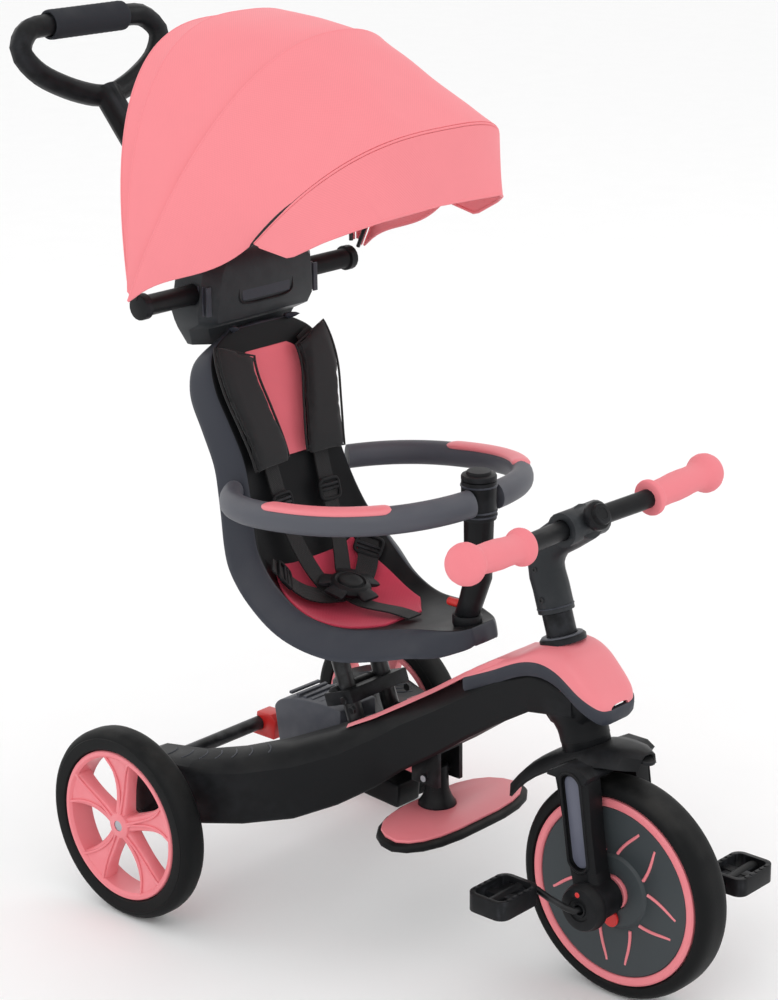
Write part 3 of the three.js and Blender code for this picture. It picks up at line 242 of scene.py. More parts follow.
# rows of points as a skin, with a UV map that measures the cloth in metres
def skin(name, rows, loop=False):
    count = len(rows[0])
    columns = count if loop else count - 1
    quads = []
    for i in range(len(rows) - 1):
        for j in range(columns):
            k = (j + 1) % count
            quads.append((i * count + j, i * count + k, (i + 1) * count + k, (i + 1) * count + j))
    mesh = bpy.data.meshes.new(name)
    mesh.from_pydata([tuple(point) for row in rows for point in row], [], quads)
    middle = count // 2
    down = [0.0]
    for before, row in zip(rows, rows[1:]):
        down.append(down[-1] + (Vector(row[middle]) - Vector(before[middle])).length)
    alongRow = []
    for row in rows:
        reach = [0.0]
        for j in range(columns):
            reach.append(reach[-1] + (Vector(row[(j + 1) % count]) - Vector(row[j])).length)
        alongRow.append([value - reach[middle] for value in reach])
    layer = mesh.uv_layers.new(name="cloth")
    corner = 0
    for i in range(len(rows) - 1):
        for j in range(columns):
            for a, b in ((i, j), (i, j + 1), (i + 1, j + 1), (i + 1, j)):
                layer.data[corner].uv = (alongRow[a][b], down[a])
                corner += 1
    piece = bpy.data.objects.new(name, mesh)
    bpy.context.scene.collection.objects.link(piece)
    return piece


# a closed body through rings of points
def lofted(name, rings, levels=0):
    piece = skin(name, rings, loop=True)
    editPart(piece)
    bpy.ops.mesh.select_mode(type="EDGE")
    bpy.ops.mesh.select_all(action="DESELECT")
    bpy.ops.mesh.select_non_manifold()
    bpy.ops.mesh.fill_holes(sides=0)
    bpy.ops.object.mode_set(mode="OBJECT")
    outwards(piece)
    if levels:
        subdivide(piece, levels)
    return piece


# a merged copy of a moulded or bent part, its edges broken by a small radius
def dressed(node, body, material, slot, edge=0.0, angle=32, name=None):
    piece = nodes[node].copy()
    piece.data = nodes[node].data.copy()
    piece.name = name or node + "_finished"
    for key in list(piece.keys()):
        del piece[key]
    piece.parent = None
    bpy.context.scene.collection.objects.link(piece)
    piece.matrix_world = Matrix.Identity(4)
    editPart(piece)
    bpy.ops.mesh.select_all(action="SELECT")
    bpy.ops.mesh.remove_doubles(threshold=0.00002)
    bpy.ops.mesh.dissolve_limited(angle_limit=radians(0.6))
    bpy.ops.object.mode_set(mode="OBJECT")
    if edge:
        softenEdges(piece, edge / 1000, 2, 40)
    return fit(piece, body, material, slot, [node], angle)


def paint(red, green, blue):
    def linear(value):
        value /= 255
        return value / 12.92 if value <= 0.04045 else ((value + 0.055) / 1.055) ** 2.4

    return (linear(red), linear(green), linear(blue), 1)


class Wiring:  # a node tree with short calls to add and join nodes
    def __init__(self, tree):
        self.tree = tree

    def add(self, kind, **settings):
        node = self.tree.nodes.new(kind)
        for key, value in settings.items():
            setattr(node, key, value)
        return node

    def join(self, source, output, target, entry):
        self.tree.links.new(source.outputs[output], target.inputs[entry])

    def math(self, operation, first, second=None, clamp=False):
        node = self.add("ShaderNodeMath", operation=operation, use_clamp=clamp)
        for index, value in enumerate((first, second)):
            if isinstance(value, tuple):
                self.join(value[0], value[1], node, index)
            elif value is not None:
                node.inputs[index].default_value = value
        return node

    def spread(self, source, output, low, high, newLow, newHigh):
        node = self.add("ShaderNodeMapRange")
        self.join(source, output, node, "Value")
        for key, value in (
            ("From Min", low), ("From Max", high), ("To Min", newLow), ("To Max", newHigh),
        ):
            node.inputs[key].default_value = value
        return node

    def mix(self, factor, first, second):
        node = self.add("ShaderNodeMix", data_type="RGBA")
        self.join(factor[0], factor[1], node, 0)
        for index, value in ((6, first), (7, second)):
            if isinstance(value[0], bpy.types.Node):
                self.join(value[0], value[1], node, index)
            else:
                node.inputs[index].default_value = value
        return node


def effectGroup(name, inputs, outputs):
    group = bpy.data.node_groups.new(name, "ShaderNodeTree")
    kinds = {"colour": "NodeSocketColor", "value": "NodeSocketFloat"}
    for label, kind, start in inputs:
        socket = group.interface.new_socket(name=label, in_out="INPUT", socket_type=kinds[kind])
        socket.default_value = start
    for label, kind in outputs:
        group.interface.new_socket(name=label, in_out="OUTPUT", socket_type=kinds[kind])
    wires = Wiring(group)
    return wires, wires.add("NodeGroupInput"), wires.add("NodeGroupOutput")


white = (1, 1, 1, 1)

# fine moulded or sprayed grain, with patches a little lighter and darker
wires, entry, leave = effectGroup(
    "surfaceGrain",
    [("Colour", "colour", white), ("Grain", "value", 900), ("Unevenness", "value", 0.05),
     ("Roughness", "value", 0.5)],
    [("Colour", "colour"), ("Roughness", "value"), ("Height", "value")],
)
place = wires.add("ShaderNodeTexCoord")
fine = wires.add("ShaderNodeTexNoise")
fine.inputs["Detail"].default_value = 2
wires.join(place, "Object", fine, "Vector")
wires.join(entry, "Grain", fine, "Scale")
broad = wires.add("ShaderNodeTexNoise")
broad.inputs["Scale"].default_value = 11
broad.inputs["Detail"].default_value = 4
wires.join(place, "Object", broad, "Vector")
centred = wires.math("SUBTRACT", (broad, "Fac"), 0.5)
swing = wires.math("MULTIPLY", (centred, 0), (entry, "Unevenness"))
bright = wires.math("MULTIPLY_ADD", (swing, 0), 3.0)
bright.inputs[2].default_value = 1.0
shade = wires.add("ShaderNodeHueSaturation")
wires.join(entry, "Colour", shade, "Color")
wires.join(bright, 0, shade, "Value")
rough = wires.math("MULTIPLY_ADD", (centred, 0), 0.35)
wires.join(entry, "Roughness", rough, 2)
wires.join(shade, "Color", leave, "Colour")
wires.join(rough, 0, leave, "Roughness")
wires.join(fine, "Fac", leave, "Height")

# edges rubbed lighter, broken up by a noise
wires, entry, leave = effectGroup(
    "edgeWear",
    [("Colour", "colour", white), ("Worn colour", "colour", white), ("Amount", "value", 0.3)],
    [("Colour", "colour"), ("Mask", "value")],
)
geometry = wires.add("ShaderNodeNewGeometry")
place = wires.add("ShaderNodeTexCoord")
patches = wires.add("ShaderNodeTexNoise")
patches.inputs["Scale"].default_value = 60
patches.inputs["Detail"].default_value = 5
wires.join(place, "Object", patches, "Vector")
sharp = wires.spread(geometry, "Pointiness", 0.53, 0.62, 0, 1)
broken = wires.spread(patches, "Fac", 0.4, 0.62, 0, 1)
mask = wires.math("MULTIPLY", (sharp, 0), (broken, 0))
mask = wires.math("MULTIPLY", (mask, 0), (entry, "Amount"), clamp=True)
mixed = wires.mix((mask, 0), (entry, "Colour"), (entry, "Worn colour"))
wires.join(mixed, 2, leave, "Colour")
wires.join(mask, 0, leave, "Mask")

# pale dust that settles on what faces up
wires, entry, leave = effectGroup(
    "settledDust", [("Colour", "colour", white), ("Amount", "value", 0.06)], [("Colour", "colour")],
)
geometry = wires.add("ShaderNodeNewGeometry")
place = wires.add("ShaderNodeTexCoord")
split = wires.add("ShaderNodeSeparateXYZ")
wires.join(geometry, "Normal", split, 0)
facing = wires.spread(split, "Z", 0.2, 1.0, 0, 1)
patches = wires.add("ShaderNodeTexNoise")
patches.inputs["Scale"].default_value = 24
patches.inputs["Detail"].default_value = 6
wires.join(place, "Object", patches, "Vector")
broken = wires.spread(patches, "Fac", 0.35, 0.7, 0, 1)
mask = wires.math("MULTIPLY", (facing, 0), (broken, 0))
mask = wires.math("MULTIPLY", (mask, 0), (entry, "Amount"), clamp=True)
mixed = wires.mix((mask, 0), (entry, "Colour"), paint(206, 202, 196))
wires.join(mixed, 2, leave, "Colour")

# plain weave on the piece's own UV map, which is in metres
wires, entry, leave = effectGroup(
    "plainWeave",
    [("Colour", "colour", white), ("Threads", "value", 700), ("Shade", "value", 0.12),
     ("Ribs", "value", 1.0)],
    [("Colour", "colour"), ("Height", "value")],
)
chart = wires.add("ShaderNodeUVMap", uv_map="cloth")
split = wires.add("ShaderNodeSeparateXYZ")
wires.join(chart, "UV", split, 0)
warp = wires.math("MULTIPLY", (split, "X"), (entry, "Threads"))
warp = wires.math("MULTIPLY", (warp, 0), pi)
weft = wires.math("MULTIPLY", (split, "Y"), (entry, "Threads"))
weft = wires.math("MULTIPLY", (weft, 0), (entry, "Ribs"))
weft = wires.math("MULTIPLY", (weft, 0), pi)
warpWave = wires.math("SINE", (warp, 0))
weftWave = wires.math("SINE", (weft, 0))
crossed = wires.math("MULTIPLY", (warpWave, 0), (weftWave, 0))
height = wires.spread(crossed, 0, -1, 1, 0, 1)
place = wires.add("ShaderNodeTexCoord")
slub = wires.add("ShaderNodeTexNoise")
slub.inputs["Scale"].default_value = 30
slub.inputs["Detail"].default_value = 6
wires.join(place, "Object", slub, "Vector")
uneven = wires.math("MULTIPLY_ADD", (slub, "Fac"), 0.5)
wires.join(height, 0, uneven, 2)
tone = wires.math("SUBTRACT", (uneven, 0), 0.75)
tone = wires.math("MULTIPLY", (tone, 0), (entry, "Shade"))
tone = wires.math("ADD", (tone, 0), 1.0)
shade = wires.add("ShaderNodeHueSaturation")
wires.join(entry, "Colour", shade, "Color")
wires.join(tone, 0, shade, "Value")
wires.join(shade, "Color", leave, "Colour")
wires.join(height, 0, leave, "Height")


def placedGroup(wires, name, **values):
    node = wires.add("ShaderNodeGroup", node_tree=bpy.data.node_groups[name])
    for label, value in values.items():
        node.inputs[label.replace("_", " ")].default_value = value
    return node


def hardFinish(name, look):
    material = bpy.data.materials.new(name)
    material.use_nodes = True
    wires = Wiring(material.node_tree)
    shader = material.node_tree.nodes["Principled BSDF"]
    grain = placedGroup(
        wires, "surfaceGrain", Colour=look["colour"], Grain=look["grain"],
        Unevenness=look["unevenness"], Roughness=look["roughness"],
    )
    wear = placedGroup(wires, "edgeWear", Worn_colour=look["worn"], Amount=look["wear"])
    dust = placedGroup(wires, "settledDust", Amount=look["dust"])
    bump = wires.add("ShaderNodeBump")
    bump.inputs["Strength"].default_value = look["bump"]
    bump.inputs["Distance"].default_value = 0.0004
    wires.join(grain, "Colour", wear, "Colour")
    wires.join(wear, "Colour", dust, "Colour")
    wires.join(dust, "Colour", shader, "Base Color")
    wires.join(grain, "Roughness", shader, "Roughness")
    wires.join(grain, "Height", bump, "Height")
    wires.join(bump, "Normal", shader, "Normal")
    shader.inputs["Metallic"].default_value = look.get("metal", 0)
    shader.inputs["Coat Weight"].default_value = look.get("coat", 0)
    shader.inputs["Coat Roughness"].default_value = 0.25
    shader.inputs["Specular IOR Level"].default_value = look.get("shine", 0.5)
    return material


def clothFinish(name, look):
    material = bpy.data.materials.new(name)
    material.use_nodes = True
    wires = Wiring(material.node_tree)
    shader = material.node_tree.nodes["Principled BSDF"]
    weave = placedGroup(
        wires, "plainWeave", Colour=look["colour"], Threads=look["threads"],
        Shade=look["shade"], Ribs=look["ribs"],
    )
    dust = placedGroup(wires, "settledDust", Amount=look["dust"])
    bump = wires.add("ShaderNodeBump")
    bump.inputs["Strength"].default_value = look["bump"]
    bump.inputs["Distance"].default_value = 0.0005
    wires.join(weave, "Colour", dust, "Colour")
    wires.join(dust, "Colour", shader, "Base Color")
    wires.join(weave, "Height", bump, "Height")
    wires.join(bump, "Normal", shader, "Normal")
    shader.inputs["Roughness"].default_value = look["roughness"]
    shader.inputs["Sheen Weight"].default_value = look["sheen"]
    shader.inputs["Sheen Roughness"].default_value = 0.4
    return material


finishes = {
    "coral": dict(colour=paint(232, 128, 136), roughness=0.42, grain=1300, bump=0.10,
                  unevenness=0.03, worn=paint(246, 176, 180), wear=0.25, dust=0.03),
    "softCoral": dict(colour=paint(234, 130, 138), roughness=0.62, grain=700, bump=0.25,
                      unevenness=0.04, worn=paint(244, 166, 172), wear=0.2, dust=0.04,
                      shine=0.3),
    "redPlastic": dict(colour=paint(206, 36, 34), roughness=0.38, grain=1200, bump=0.08,
                       unevenness=0.03, worn=paint(235, 120, 110), wear=0.3, dust=0.02),
    "blackPlastic": dict(colour=paint(20, 21, 23), roughness=0.42, grain=1500, bump=0.18,
                         unevenness=0.08, worn=paint(74, 76, 82), wear=0.3, dust=0.02,
                         shine=0.14),
    "charcoalPlastic": dict(colour=paint(38, 41, 44), roughness=0.45, grain=1500, bump=0.2,
                            unevenness=0.07, worn=paint(92, 95, 100), wear=0.3, dust=0.03,
                            shine=0.22),
    "slatePlastic": dict(colour=paint(46, 49, 58), roughness=0.48, grain=1500, bump=0.2,
                         unevenness=0.07, worn=paint(104, 106, 114), wear=0.3, dust=0.04,
                         shine=0.3),
    "greyPlastic": dict(colour=paint(76, 78, 86), roughness=0.5, grain=1400, bump=0.2,
                        unevenness=0.07, worn=paint(130, 132, 138), wear=0.3, dust=0.05,
                        shine=0.4),
    "discPlastic": dict(colour=paint(58, 64, 67), roughness=0.5, grain=1400, bump=0.15,
                        unevenness=0.06, worn=paint(110, 114, 118), wear=0.2, dust=0.04,
                        shine=0.3),
    "insetPlastic": dict(colour=paint(88, 91, 106), roughness=0.45, grain=1400, bump=0.12,
                         unevenness=0.05, worn=paint(140, 142, 150), wear=0.2, dust=0.03),
    "tyreRubber": dict(colour=paint(18, 19, 20), roughness=0.55, grain=420, bump=0.3,
                       unevenness=0.12, worn=paint(52, 52, 54), wear=0.25, dust=0.04,
                       shine=0.12),
    "blackSteel": dict(colour=paint(18, 19, 21), roughness=0.34, grain=1800, bump=0.08,
                       unevenness=0.06, worn=paint(100, 102, 106), wear=0.3, dust=0.02,
                       shine=0.3),
    "zincSteel": dict(colour=paint(176, 180, 186), roughness=0.3, grain=900, bump=0.06,
                      unevenness=0.08, worn=paint(214, 216, 220), wear=0.3, dust=0.03, metal=1),
    "foam": dict(colour=paint(46, 48, 53), roughness=0.8, grain=520, bump=0.6,
                 unevenness=0.08, worn=paint(80, 82, 88), wear=0.2, dust=0.04, shine=0.15),
}
cloths = {
    "canopyCloth": dict(colour=paint(240, 136, 143), roughness=0.78, threads=620, shade=0.10,
                        ribs=1.0, bump=0.22, sheen=0.1, dust=0.02),
    # the canopy's inside: the same cloth painted a deeper pink, a painted shade for the face turned
    # away from the lamps
    "canopyShadedInside": dict(colour=paint(236, 108, 122), roughness=0.85, threads=620, shade=0.12,
                         ribs=1.0, bump=0.2, sheen=0.05, dust=0.0),
    "padCloth": dict(colour=paint(25, 26, 28), roughness=0.85, threads=900, shade=0.35,
                     ribs=1.0, bump=0.5, sheen=0.12, dust=0.02),
    "webbing": dict(colour=paint(20, 20, 22), roughness=0.8, threads=760, shade=0.45,
                    ribs=0.6, bump=0.7, sheen=0.1, dust=0.02),
    "insertCloth": dict(colour=paint(232, 114, 126), roughness=0.8, threads=800, shade=0.14,
                        ribs=1.0, bump=0.3, sheen=0.1, dust=0.02),
    "baseCloth": dict(colour=paint(206, 62, 88), roughness=0.8, threads=800, shade=0.16,
                      ribs=1.0, bump=0.35, sheen=0.1, dust=0.02),
}
paints = {name: hardFinish(name, look) for name, look in finishes.items()}
paints.update({name: clothFinish(name, look) for name, look in cloths.items()})
print("finishes ready")

shot = {
    "place": at(1544.46, -2075.90, 1392.87),
    "target": at(-289.07, -59.46, 526.23),
    "roll": -0.58,
    "lens": 92.94,
}
bpy.ops.object.camera_add(location=shot["place"])
camera = named("camera")
back = (shot["place"] - shot["target"]).normalized()
turn = back.to_track_quat("Z", "Y").to_matrix().to_4x4()
camera.matrix_world = (
    Matrix.Translation(shot["place"]) @ turn @ Matrix.Rotation(radians(shot["roll"]), 4, "Z")
)
camera.data.lens = shot["lens"]
camera.data.sensor_width = 36
camera.data.clip_end = 60
bpy.context.scene.camera = camera

studio = {
    "floor": paint(250, 250, 250),
    "world": 1.0,
    "lamps": [  # place, size, power, aimed at the middle of the tricycle
        ((1.6, -3.2, 3.6), 2.6, 22),
        ((-3.4, -1.8, 2.6), 2.2, 10),
        ((0.4, 3.6, 3.2), 2.4, 9),
        ((3.6, 1.2, 1.6), 1.8, 5),
    ],
}
deselectAll()
bpy.ops.mesh.primitive_plane_add(size=40, location=(0, 0, -0.0005))
floor = named("floor")
setPlace(floor)
floorPaint = bpy.data.materials.new("floorPaint")
floorPaint.use_nodes = True
wires = Wiring(floorPaint.node_tree)
shader = floorPaint.node_tree.nodes["Principled BSDF"]
mottle = placedGroup(
    wires, "surfaceGrain", Colour=studio["floor"], Grain=200, Unevenness=0.01, Roughness=0.85,
)
wires.join(mottle, "Colour", shader, "Base Color")
wires.join(mottle, "Roughness", shader, "Roughness")
shader.inputs["Specular IOR Level"].default_value = 0.1
paintWith(floor, floorPaint)
world = bpy.data.worlds.new("studio")
world.use_nodes = True
world.node_tree.nodes["Background"].inputs["Color"].default_value = (1, 1, 1, 1)
world.node_tree.nodes["Background"].inputs["Strength"].default_value = studio["world"]
bpy.context.scene.world = world
for number, (spot, size, power) in enumerate(studio["lamps"]):
    bpy.ops.object.light_add(type="AREA", location=spot)
    lamp = bpy.context.object
    lamp.name = f"lamp{number + 1}"
    lamp.data.energy = power
    lamp.data.size = size
    aim = Vector((0, 0, 0.5)) - Vector(spot)
    lamp.rotation_euler = aim.to_track_quat("-Z", "Y").to_euler()
bpy.context.scene.view_settings.view_transform = "Standard"
print("camera and studio ready")

frontWheel = {
    "tyre": [(109.9, -19), (112, -22.2), (115.5, -23), (118.6, -22.6), (121.4, -21.2),
             (123.8, -18.8), (125.6, -15.2), (126.7, -10.5), (127, -5), (127, 5), (126.7, 10.5),
             (125.6, 15.2), (123.8, 18.8), (121.4, 21.2), (118.6, 22.6), (115.5, 23),
             (112, 22.2), (109.9, 19)],
    "rim": [(5, -24.8), (19, -24.8), (20, -24), (20, -6), (94, -6), (98.9, -17), (99.3, -21.4),
            (100.4, -22.8), (102, -23.4), (107, -23.2), (109, -21.6), (109.5, -18), (109.5, 18),
            (109, 21.6), (107, 23.2), (102, 23.4), (100.4, 22.8), (99.3, 21.4), (98.9, 17),
            (94, 6), (20, 6), (20, 24), (19, 24.8), (5, 24.8)],
    "disc": [(20.6, -6.6), (20.6, -20.4), (21.4, -21), (39, -21), (41, -20.6), (43, -18.4),
             (44.2, -17.7), (45, -18.2), (70, -19.2), (94, -20.6), (97.6, -20.9), (98.6, -20.2),
             (98.6, -17.6), (93.6, -6.6)],
    "strokes": 5,  # pairs of raised curved strokes, each pair spreading towards the hub
    "outer": 85, "inner": 47, "apart": 8.5, "spread": 26, "strokeWidth": 1.9,
}
frontTyre = turned("front_tyre_smooth", frontAxle, across, frontWheel["tyre"], 112, ring=True)
fit(frontTyre, "front_wheel", paints["tyreRubber"], "black_rubber", ["front_tyre"], 40)
frontRim = turned("front_rim_smooth", frontAxle, across, frontWheel["rim"], 112, ring=True)
fit(frontRim, "front_wheel", paints["coral"], "coral_plastic", ["front_rim"], 32)


def onDisc(radius, angle, side, lift=19.4):
    return frontAxle + Vector(
        (radius * cos(radians(angle)), side * lift, radius * sin(radians(angle)))
    ) / 1000


for side, way in sides.items():
    disc = turned(
        f"front_disc_{side}_smooth", frontAxle, across * -way,
        [(radius, place) for radius, place in frontWheel["disc"]], 112, ring=True,
    )
    fit(disc, "front_wheel", paints["discPlastic"], "disc_plastic", [f"front_disc_{side}"], 32)
    strokes = []
    for pair in range(frontWheel["strokes"]):
        middle = 58 - 72 * pair
        for end in (-1, 1):
            start, finish = end * frontWheel["apart"], end * frontWheel["spread"]
            stops = []
            for step in range(13):
                share = step / 12
                radius = frontWheel["outer"] + (frontWheel["inner"] - frontWheel["outer"]) * share
                angle = middle + start + (finish - start) * share**1.25
                stops.append(onDisc(radius, angle, way, 18.8))
            strokes.append(tube(f"stroke{pair}", stops, frontWheel["strokeWidth"], 3))
    inlay = joinPieces(f"front_disc_inlay_{side}", strokes)
    fit(inlay, "front_wheel", paints["coral"], "coral_plastic", angle=50)

selector = turned(
    "clutch_tab", at(0, -23.2, 96), across,
    [(6, -1.8), (9.2, -1.8), (10, -1.1), (10, 1.1), (9.2, 1.8), (6, 1.8)], 40,
)
fit(selector, "front_wheel", paints["redPlastic"], "red_plastic", ["clutch_selector"])
dressed("crankshaft", "front_wheel", paints["blackSteel"], "black_steel", angle=60)

pedalLook = {"rib": 1.6, "ribs": 5}
for side, way in sides.items():
    dressed(f"pedal_{side}", f"pedal_{side}", paints["blackPlastic"], "black_plastic", 1.2)
    low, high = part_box(f"pedal_{side}")
    centre = (low + high) / 2
    treads = []
    for end in (-1, 1):
        for number in range(pedalLook["ribs"]):
            y = (number - (pedalLook["ribs"] - 1) / 2) * 0.0095
            spot = Vector((centre.x + end * 0.0232, centre.y + y, high.z + 0.0001))
            treads.append(block(f"tread{number}", spot, (4.4, 5.5, 1.4), 0, 0.6, 2))
    fit(joinPieces(f"pedal_{side}_treads", treads), f"pedal_{side}", paints["blackPlastic"],
        "black_plastic")
print("front wheel ready")

dressed("fork", "steering", paints["blackPlastic"], "black_plastic", 1.6)
dressed("front_fender", "steering", paints["blackPlastic"], "black_plastic", 0.8, 40)
dressed("steerer_tube", "steering", paints["blackPlastic"], "black_steel", angle=50)
dressed("headset_lower", "steering", paints["blackPlastic"], "black_plastic", 0.8)
dressed("headset_upper", "frame", paints["greyPlastic"], "grey_plastic", 0.6)
dressed("head_tube", "frame", paints["zincSteel"], "steel")
dressed("neck", "steering", paints["charcoalPlastic"], "black_plastic", 3.0, 60)
dressed("handlebar", "steering", paints["blackPlastic"], "black_steel", angle=60)

forkLook = {"slotHalf": 11.6, "slotReach": 43, "lean": 0.14, "lip": 1.7}
for side, way in sides.items():
    rim = []
    panel = []
    for step in range(48):
        angle = 2 * pi * step / 48
        x = forkLook["slotHalf"] * cos(angle)
        z = forkLook["slotHalf"] * sin(angle) + copysign(forkLook["slotReach"], sin(angle))
        lean = -26 - forkLook["lean"] * z + 2.2
        rim.append(at(lean + x * 1.16, way * 60.0, 215 + z * 1.02))
        panel.append((lean + x * 0.92, 215 + z * 0.95))
    lip = tube(f"fork_lip_{side}", rim, forkLook["lip"], 4, closedLoop=True)
    fit(lip, "steering", paints["blackPlastic"], "black_plastic", angle=60)
    rings = []
    for grow, depth in ((1.0, 52.4), (1.0, 55.2), (0.93, 56.6), (0.7, 57.2)):
        ring = []
        for x, z in panel:
            middle = -23.8 - forkLook["lean"] * (z - 215)
            rise = (z - 215) * (0.97 + 0.03 * grow)
            ring.append(at(middle + (x - middle) * grow, way * depth, 215 + rise))
        rings.append(ring)
    inset = lofted(f"fork_inset_{side}", rings)
    fit(inset, "steering", paints["insetPlastic"], "grey_plastic")
    cover = turned(
        f"hub_cover_{side}_smooth", frontAxle, across * way,
        [(6, 63.6), (25, 63.6), (26.6, 64.6), (27.3, 68), (27.2, 70.4), (25.4, 77.6), (24, 80),
         (21.5, 81), (13.5, 81), (12.5, 79.4), (8.6, 79.2), (8, 80.4), (6, 80.4)], 72, ring=True,
    )
    fit(cover, "steering", paints["blackPlastic"], "black_plastic", [f"hub_cover_{side}"])
    window = turned(
        f"hub_window_{side}", frontAxle + Vector((-0.002, way * 0.0805, 0.0175)), across * way,
        [(2.2, -1), (3.2, -1), (3.2, 0.4), (2.6, 0.9), (1, 1.0)], 24,
    )
    fit(window, "steering", paints["redPlastic"], "red_plastic")

# small round boss on the fender's front
bossLook = {
    "spot": (27, 0, 286.2), "axis": (0.28, 0, 0.96),
    "profile": [(10.5, -3), (10.5, -0.6), (9.6, 0.3), (7.8, 0.3), (7.2, -0.3), (1, -0.3)],
}
boss = turned("fender_boss", at(*bossLook["spot"]), Vector(bossLook["axis"]).normalized(),
              bossLook["profile"], 40)
fit(boss, "steering", paints["blackPlastic"], "black_plastic")

# round knob with a stepped cap on the handlebar clamp
knobLook = {
    "clamp": (-68, 0, 531), "axis": (0.867014, 0, 0.498284), "standOff": 0.0215,
    "profile": [(10, 0), (15.4, 0.2), (16, 1.2), (16, 8.4), (15.2, 9.6), (12.4, 10.2),
                (12, 11), (12, 13.2), (11.2, 14.4), (6.8, 14.8), (6.2, 14.2), (2, 14.2)],
}
knobAxis = Vector(knobLook["axis"])
knobFoot = at(*knobLook["clamp"]) + knobAxis * knobLook["standOff"]
knob = turned("neck_knob_cap", knobFoot, knobAxis, knobLook["profile"], 64)
fit(knob, "knob", paints["blackPlastic"], "black_plastic", ["neck_knob"])


def screw(name, spot, axis, radius, body, material="zincSteel"):
    head = turned(name, spot, axis, [(radius, -1.5), (radius, 0.4), (radius * 0.86, 0.9),
                  (radius * 0.5, 1.0), (radius * 0.42, 0.2), (radius * 0.1, 0.1)], 24)
    return fit(head, body, paints[material], "steel")


def besideSteer(z, side, reach):  # a point beside the steering axis
    x = -7 - (z - 127) * sin(radians(17)) / cos(radians(17))
    return at(x, side * reach, z)


screw("neck_screw_lower", besideSteer(441, -1, 20.6), -across, 3.4, "steering", "blackSteel")
screw("neck_screw_upper", besideSteer(474, -1, 20.6), -across, 3.0, "steering", "blackSteel")
band = turned("neck_sleeve_line", besideSteer(430, 0, 0), steerDirection,
              [(20.4, -0.6), (21.1, -0.2), (21.1, 0.8), (20.4, 1.2)], 64, ring=True)
fit(band, "steering", paints["slatePlastic"], "grey_plastic")

gripLook = [(11.9, 0), (18.6, -0.4), (20, 0.8), (20.6, 3.2), (20.2, 6), (17.6, 9.4), (16, 12),
            (15.5, 16), (15.5, 30), (16.4, 44), (16.2, 58), (15.4, 70), (15.6, 80), (17.2, 85.4),
            (20.2, 89.6), (22.2, 94), (22.6, 99), (21.4, 104.6), (18.6, 109.6), (14, 112.6),
            (8, 114), (2, 114.2)]
gripInner, gripOuter = (-58, 108, 535), (-52.4, 206, 542.5)
for side, way in sides.items():
    start = at(gripInner[0], way * gripInner[1], gripInner[2])
    end = at(gripOuter[0], way * gripOuter[1], gripOuter[2])
    direction = (end - start).normalized()
    grip = turned(f"grip_{side}_smooth", start, direction, gripLook, 64)
    fit(grip, "steering", paints["softCoral"], "soft_grip", [f"grip_{side}"], 50)
print("steering ready")

noseLook = {
    # x, half width, edge height and top height, from the beam to the tip
    "stations": [
        [-200, 37, 331, 338], [-178, 37, 341, 351], [-155, 38.5, 352, 364.5],
        [-130, 39.5, 365, 375], [-110, 40, 373, 387], [-92, 40, 376, 395], [-76, 40, 374, 396.5],
        [-62, 40, 368.5, 394], [-50, 39.5, 360.5, 388], [-40, 38.5, 353, 379.5],
        [-30, 37, 347, 369], [-22, 34.5, 342.5, 361], [-16, 31, 339, 354],
        [-12, 25, 336.5, 347], [-10, 15, 335.5, 341],
    ],
    "wall": 3, "tuckedFrom": -125, "inset": 5, "shorten": 0.58, "shortenFrom": -60,
    # the rim's section, out from the edge and up from it
    "rim": [(0.2, 0.6), (1.4, -0.8), (1.5, -6), (0.9, -12), (-1.5, -16), (-7, -16), (-6, 0)],
}
noseLine = smoothLine(noseLook["stations"], 4)


# the moulded nose under the smooth one is drawn in, so that none of it shows
def drawIn(piece):
    for vertex in piece.data.vertices:
        x, y, z = [value * 1000 for value in vertex.co - at(0, 0, 0)]
        past = x - noseLook["shortenFrom"]
        if past > 0:
            x -= past * (1 - noseLook["shorten"])
        if x > noseLook["tuckedFrom"]:
            near = min(noseLine, key=lambda station: abs(station[0] - x))
            z = min(z, near[3] - noseLook["inset"])
            y *= 0.9
        vertex.co = at(x, y, z)


beam = dressed("frame_beam", "frame", paints["blackPlastic"], "black_plastic", 1.4, 34)
cover = dressed("frame_cover", "frame", paints["coral"], "coral_plastic", 0.8, 34)
drawIn(beam)
drawIn(cover)
rows = []
for x, half, low, top in noseLine:
    row = []
    for k in range(25):
        a = pi * k / 24
        y = half * copysign(abs(cos(a)) ** 0.62, cos(a))
        row.append(at(x, y, low + (top - low) * abs(sin(a)) ** 0.72))
    rows.append(row)
noseShell = skin("nose_cover_smooth", rows)
outwards(noseShell)
thicken(noseShell, noseLook["wall"] / 1000, -1)
fit(noseShell, "frame", paints["coral"], "coral_plastic", angle=50)

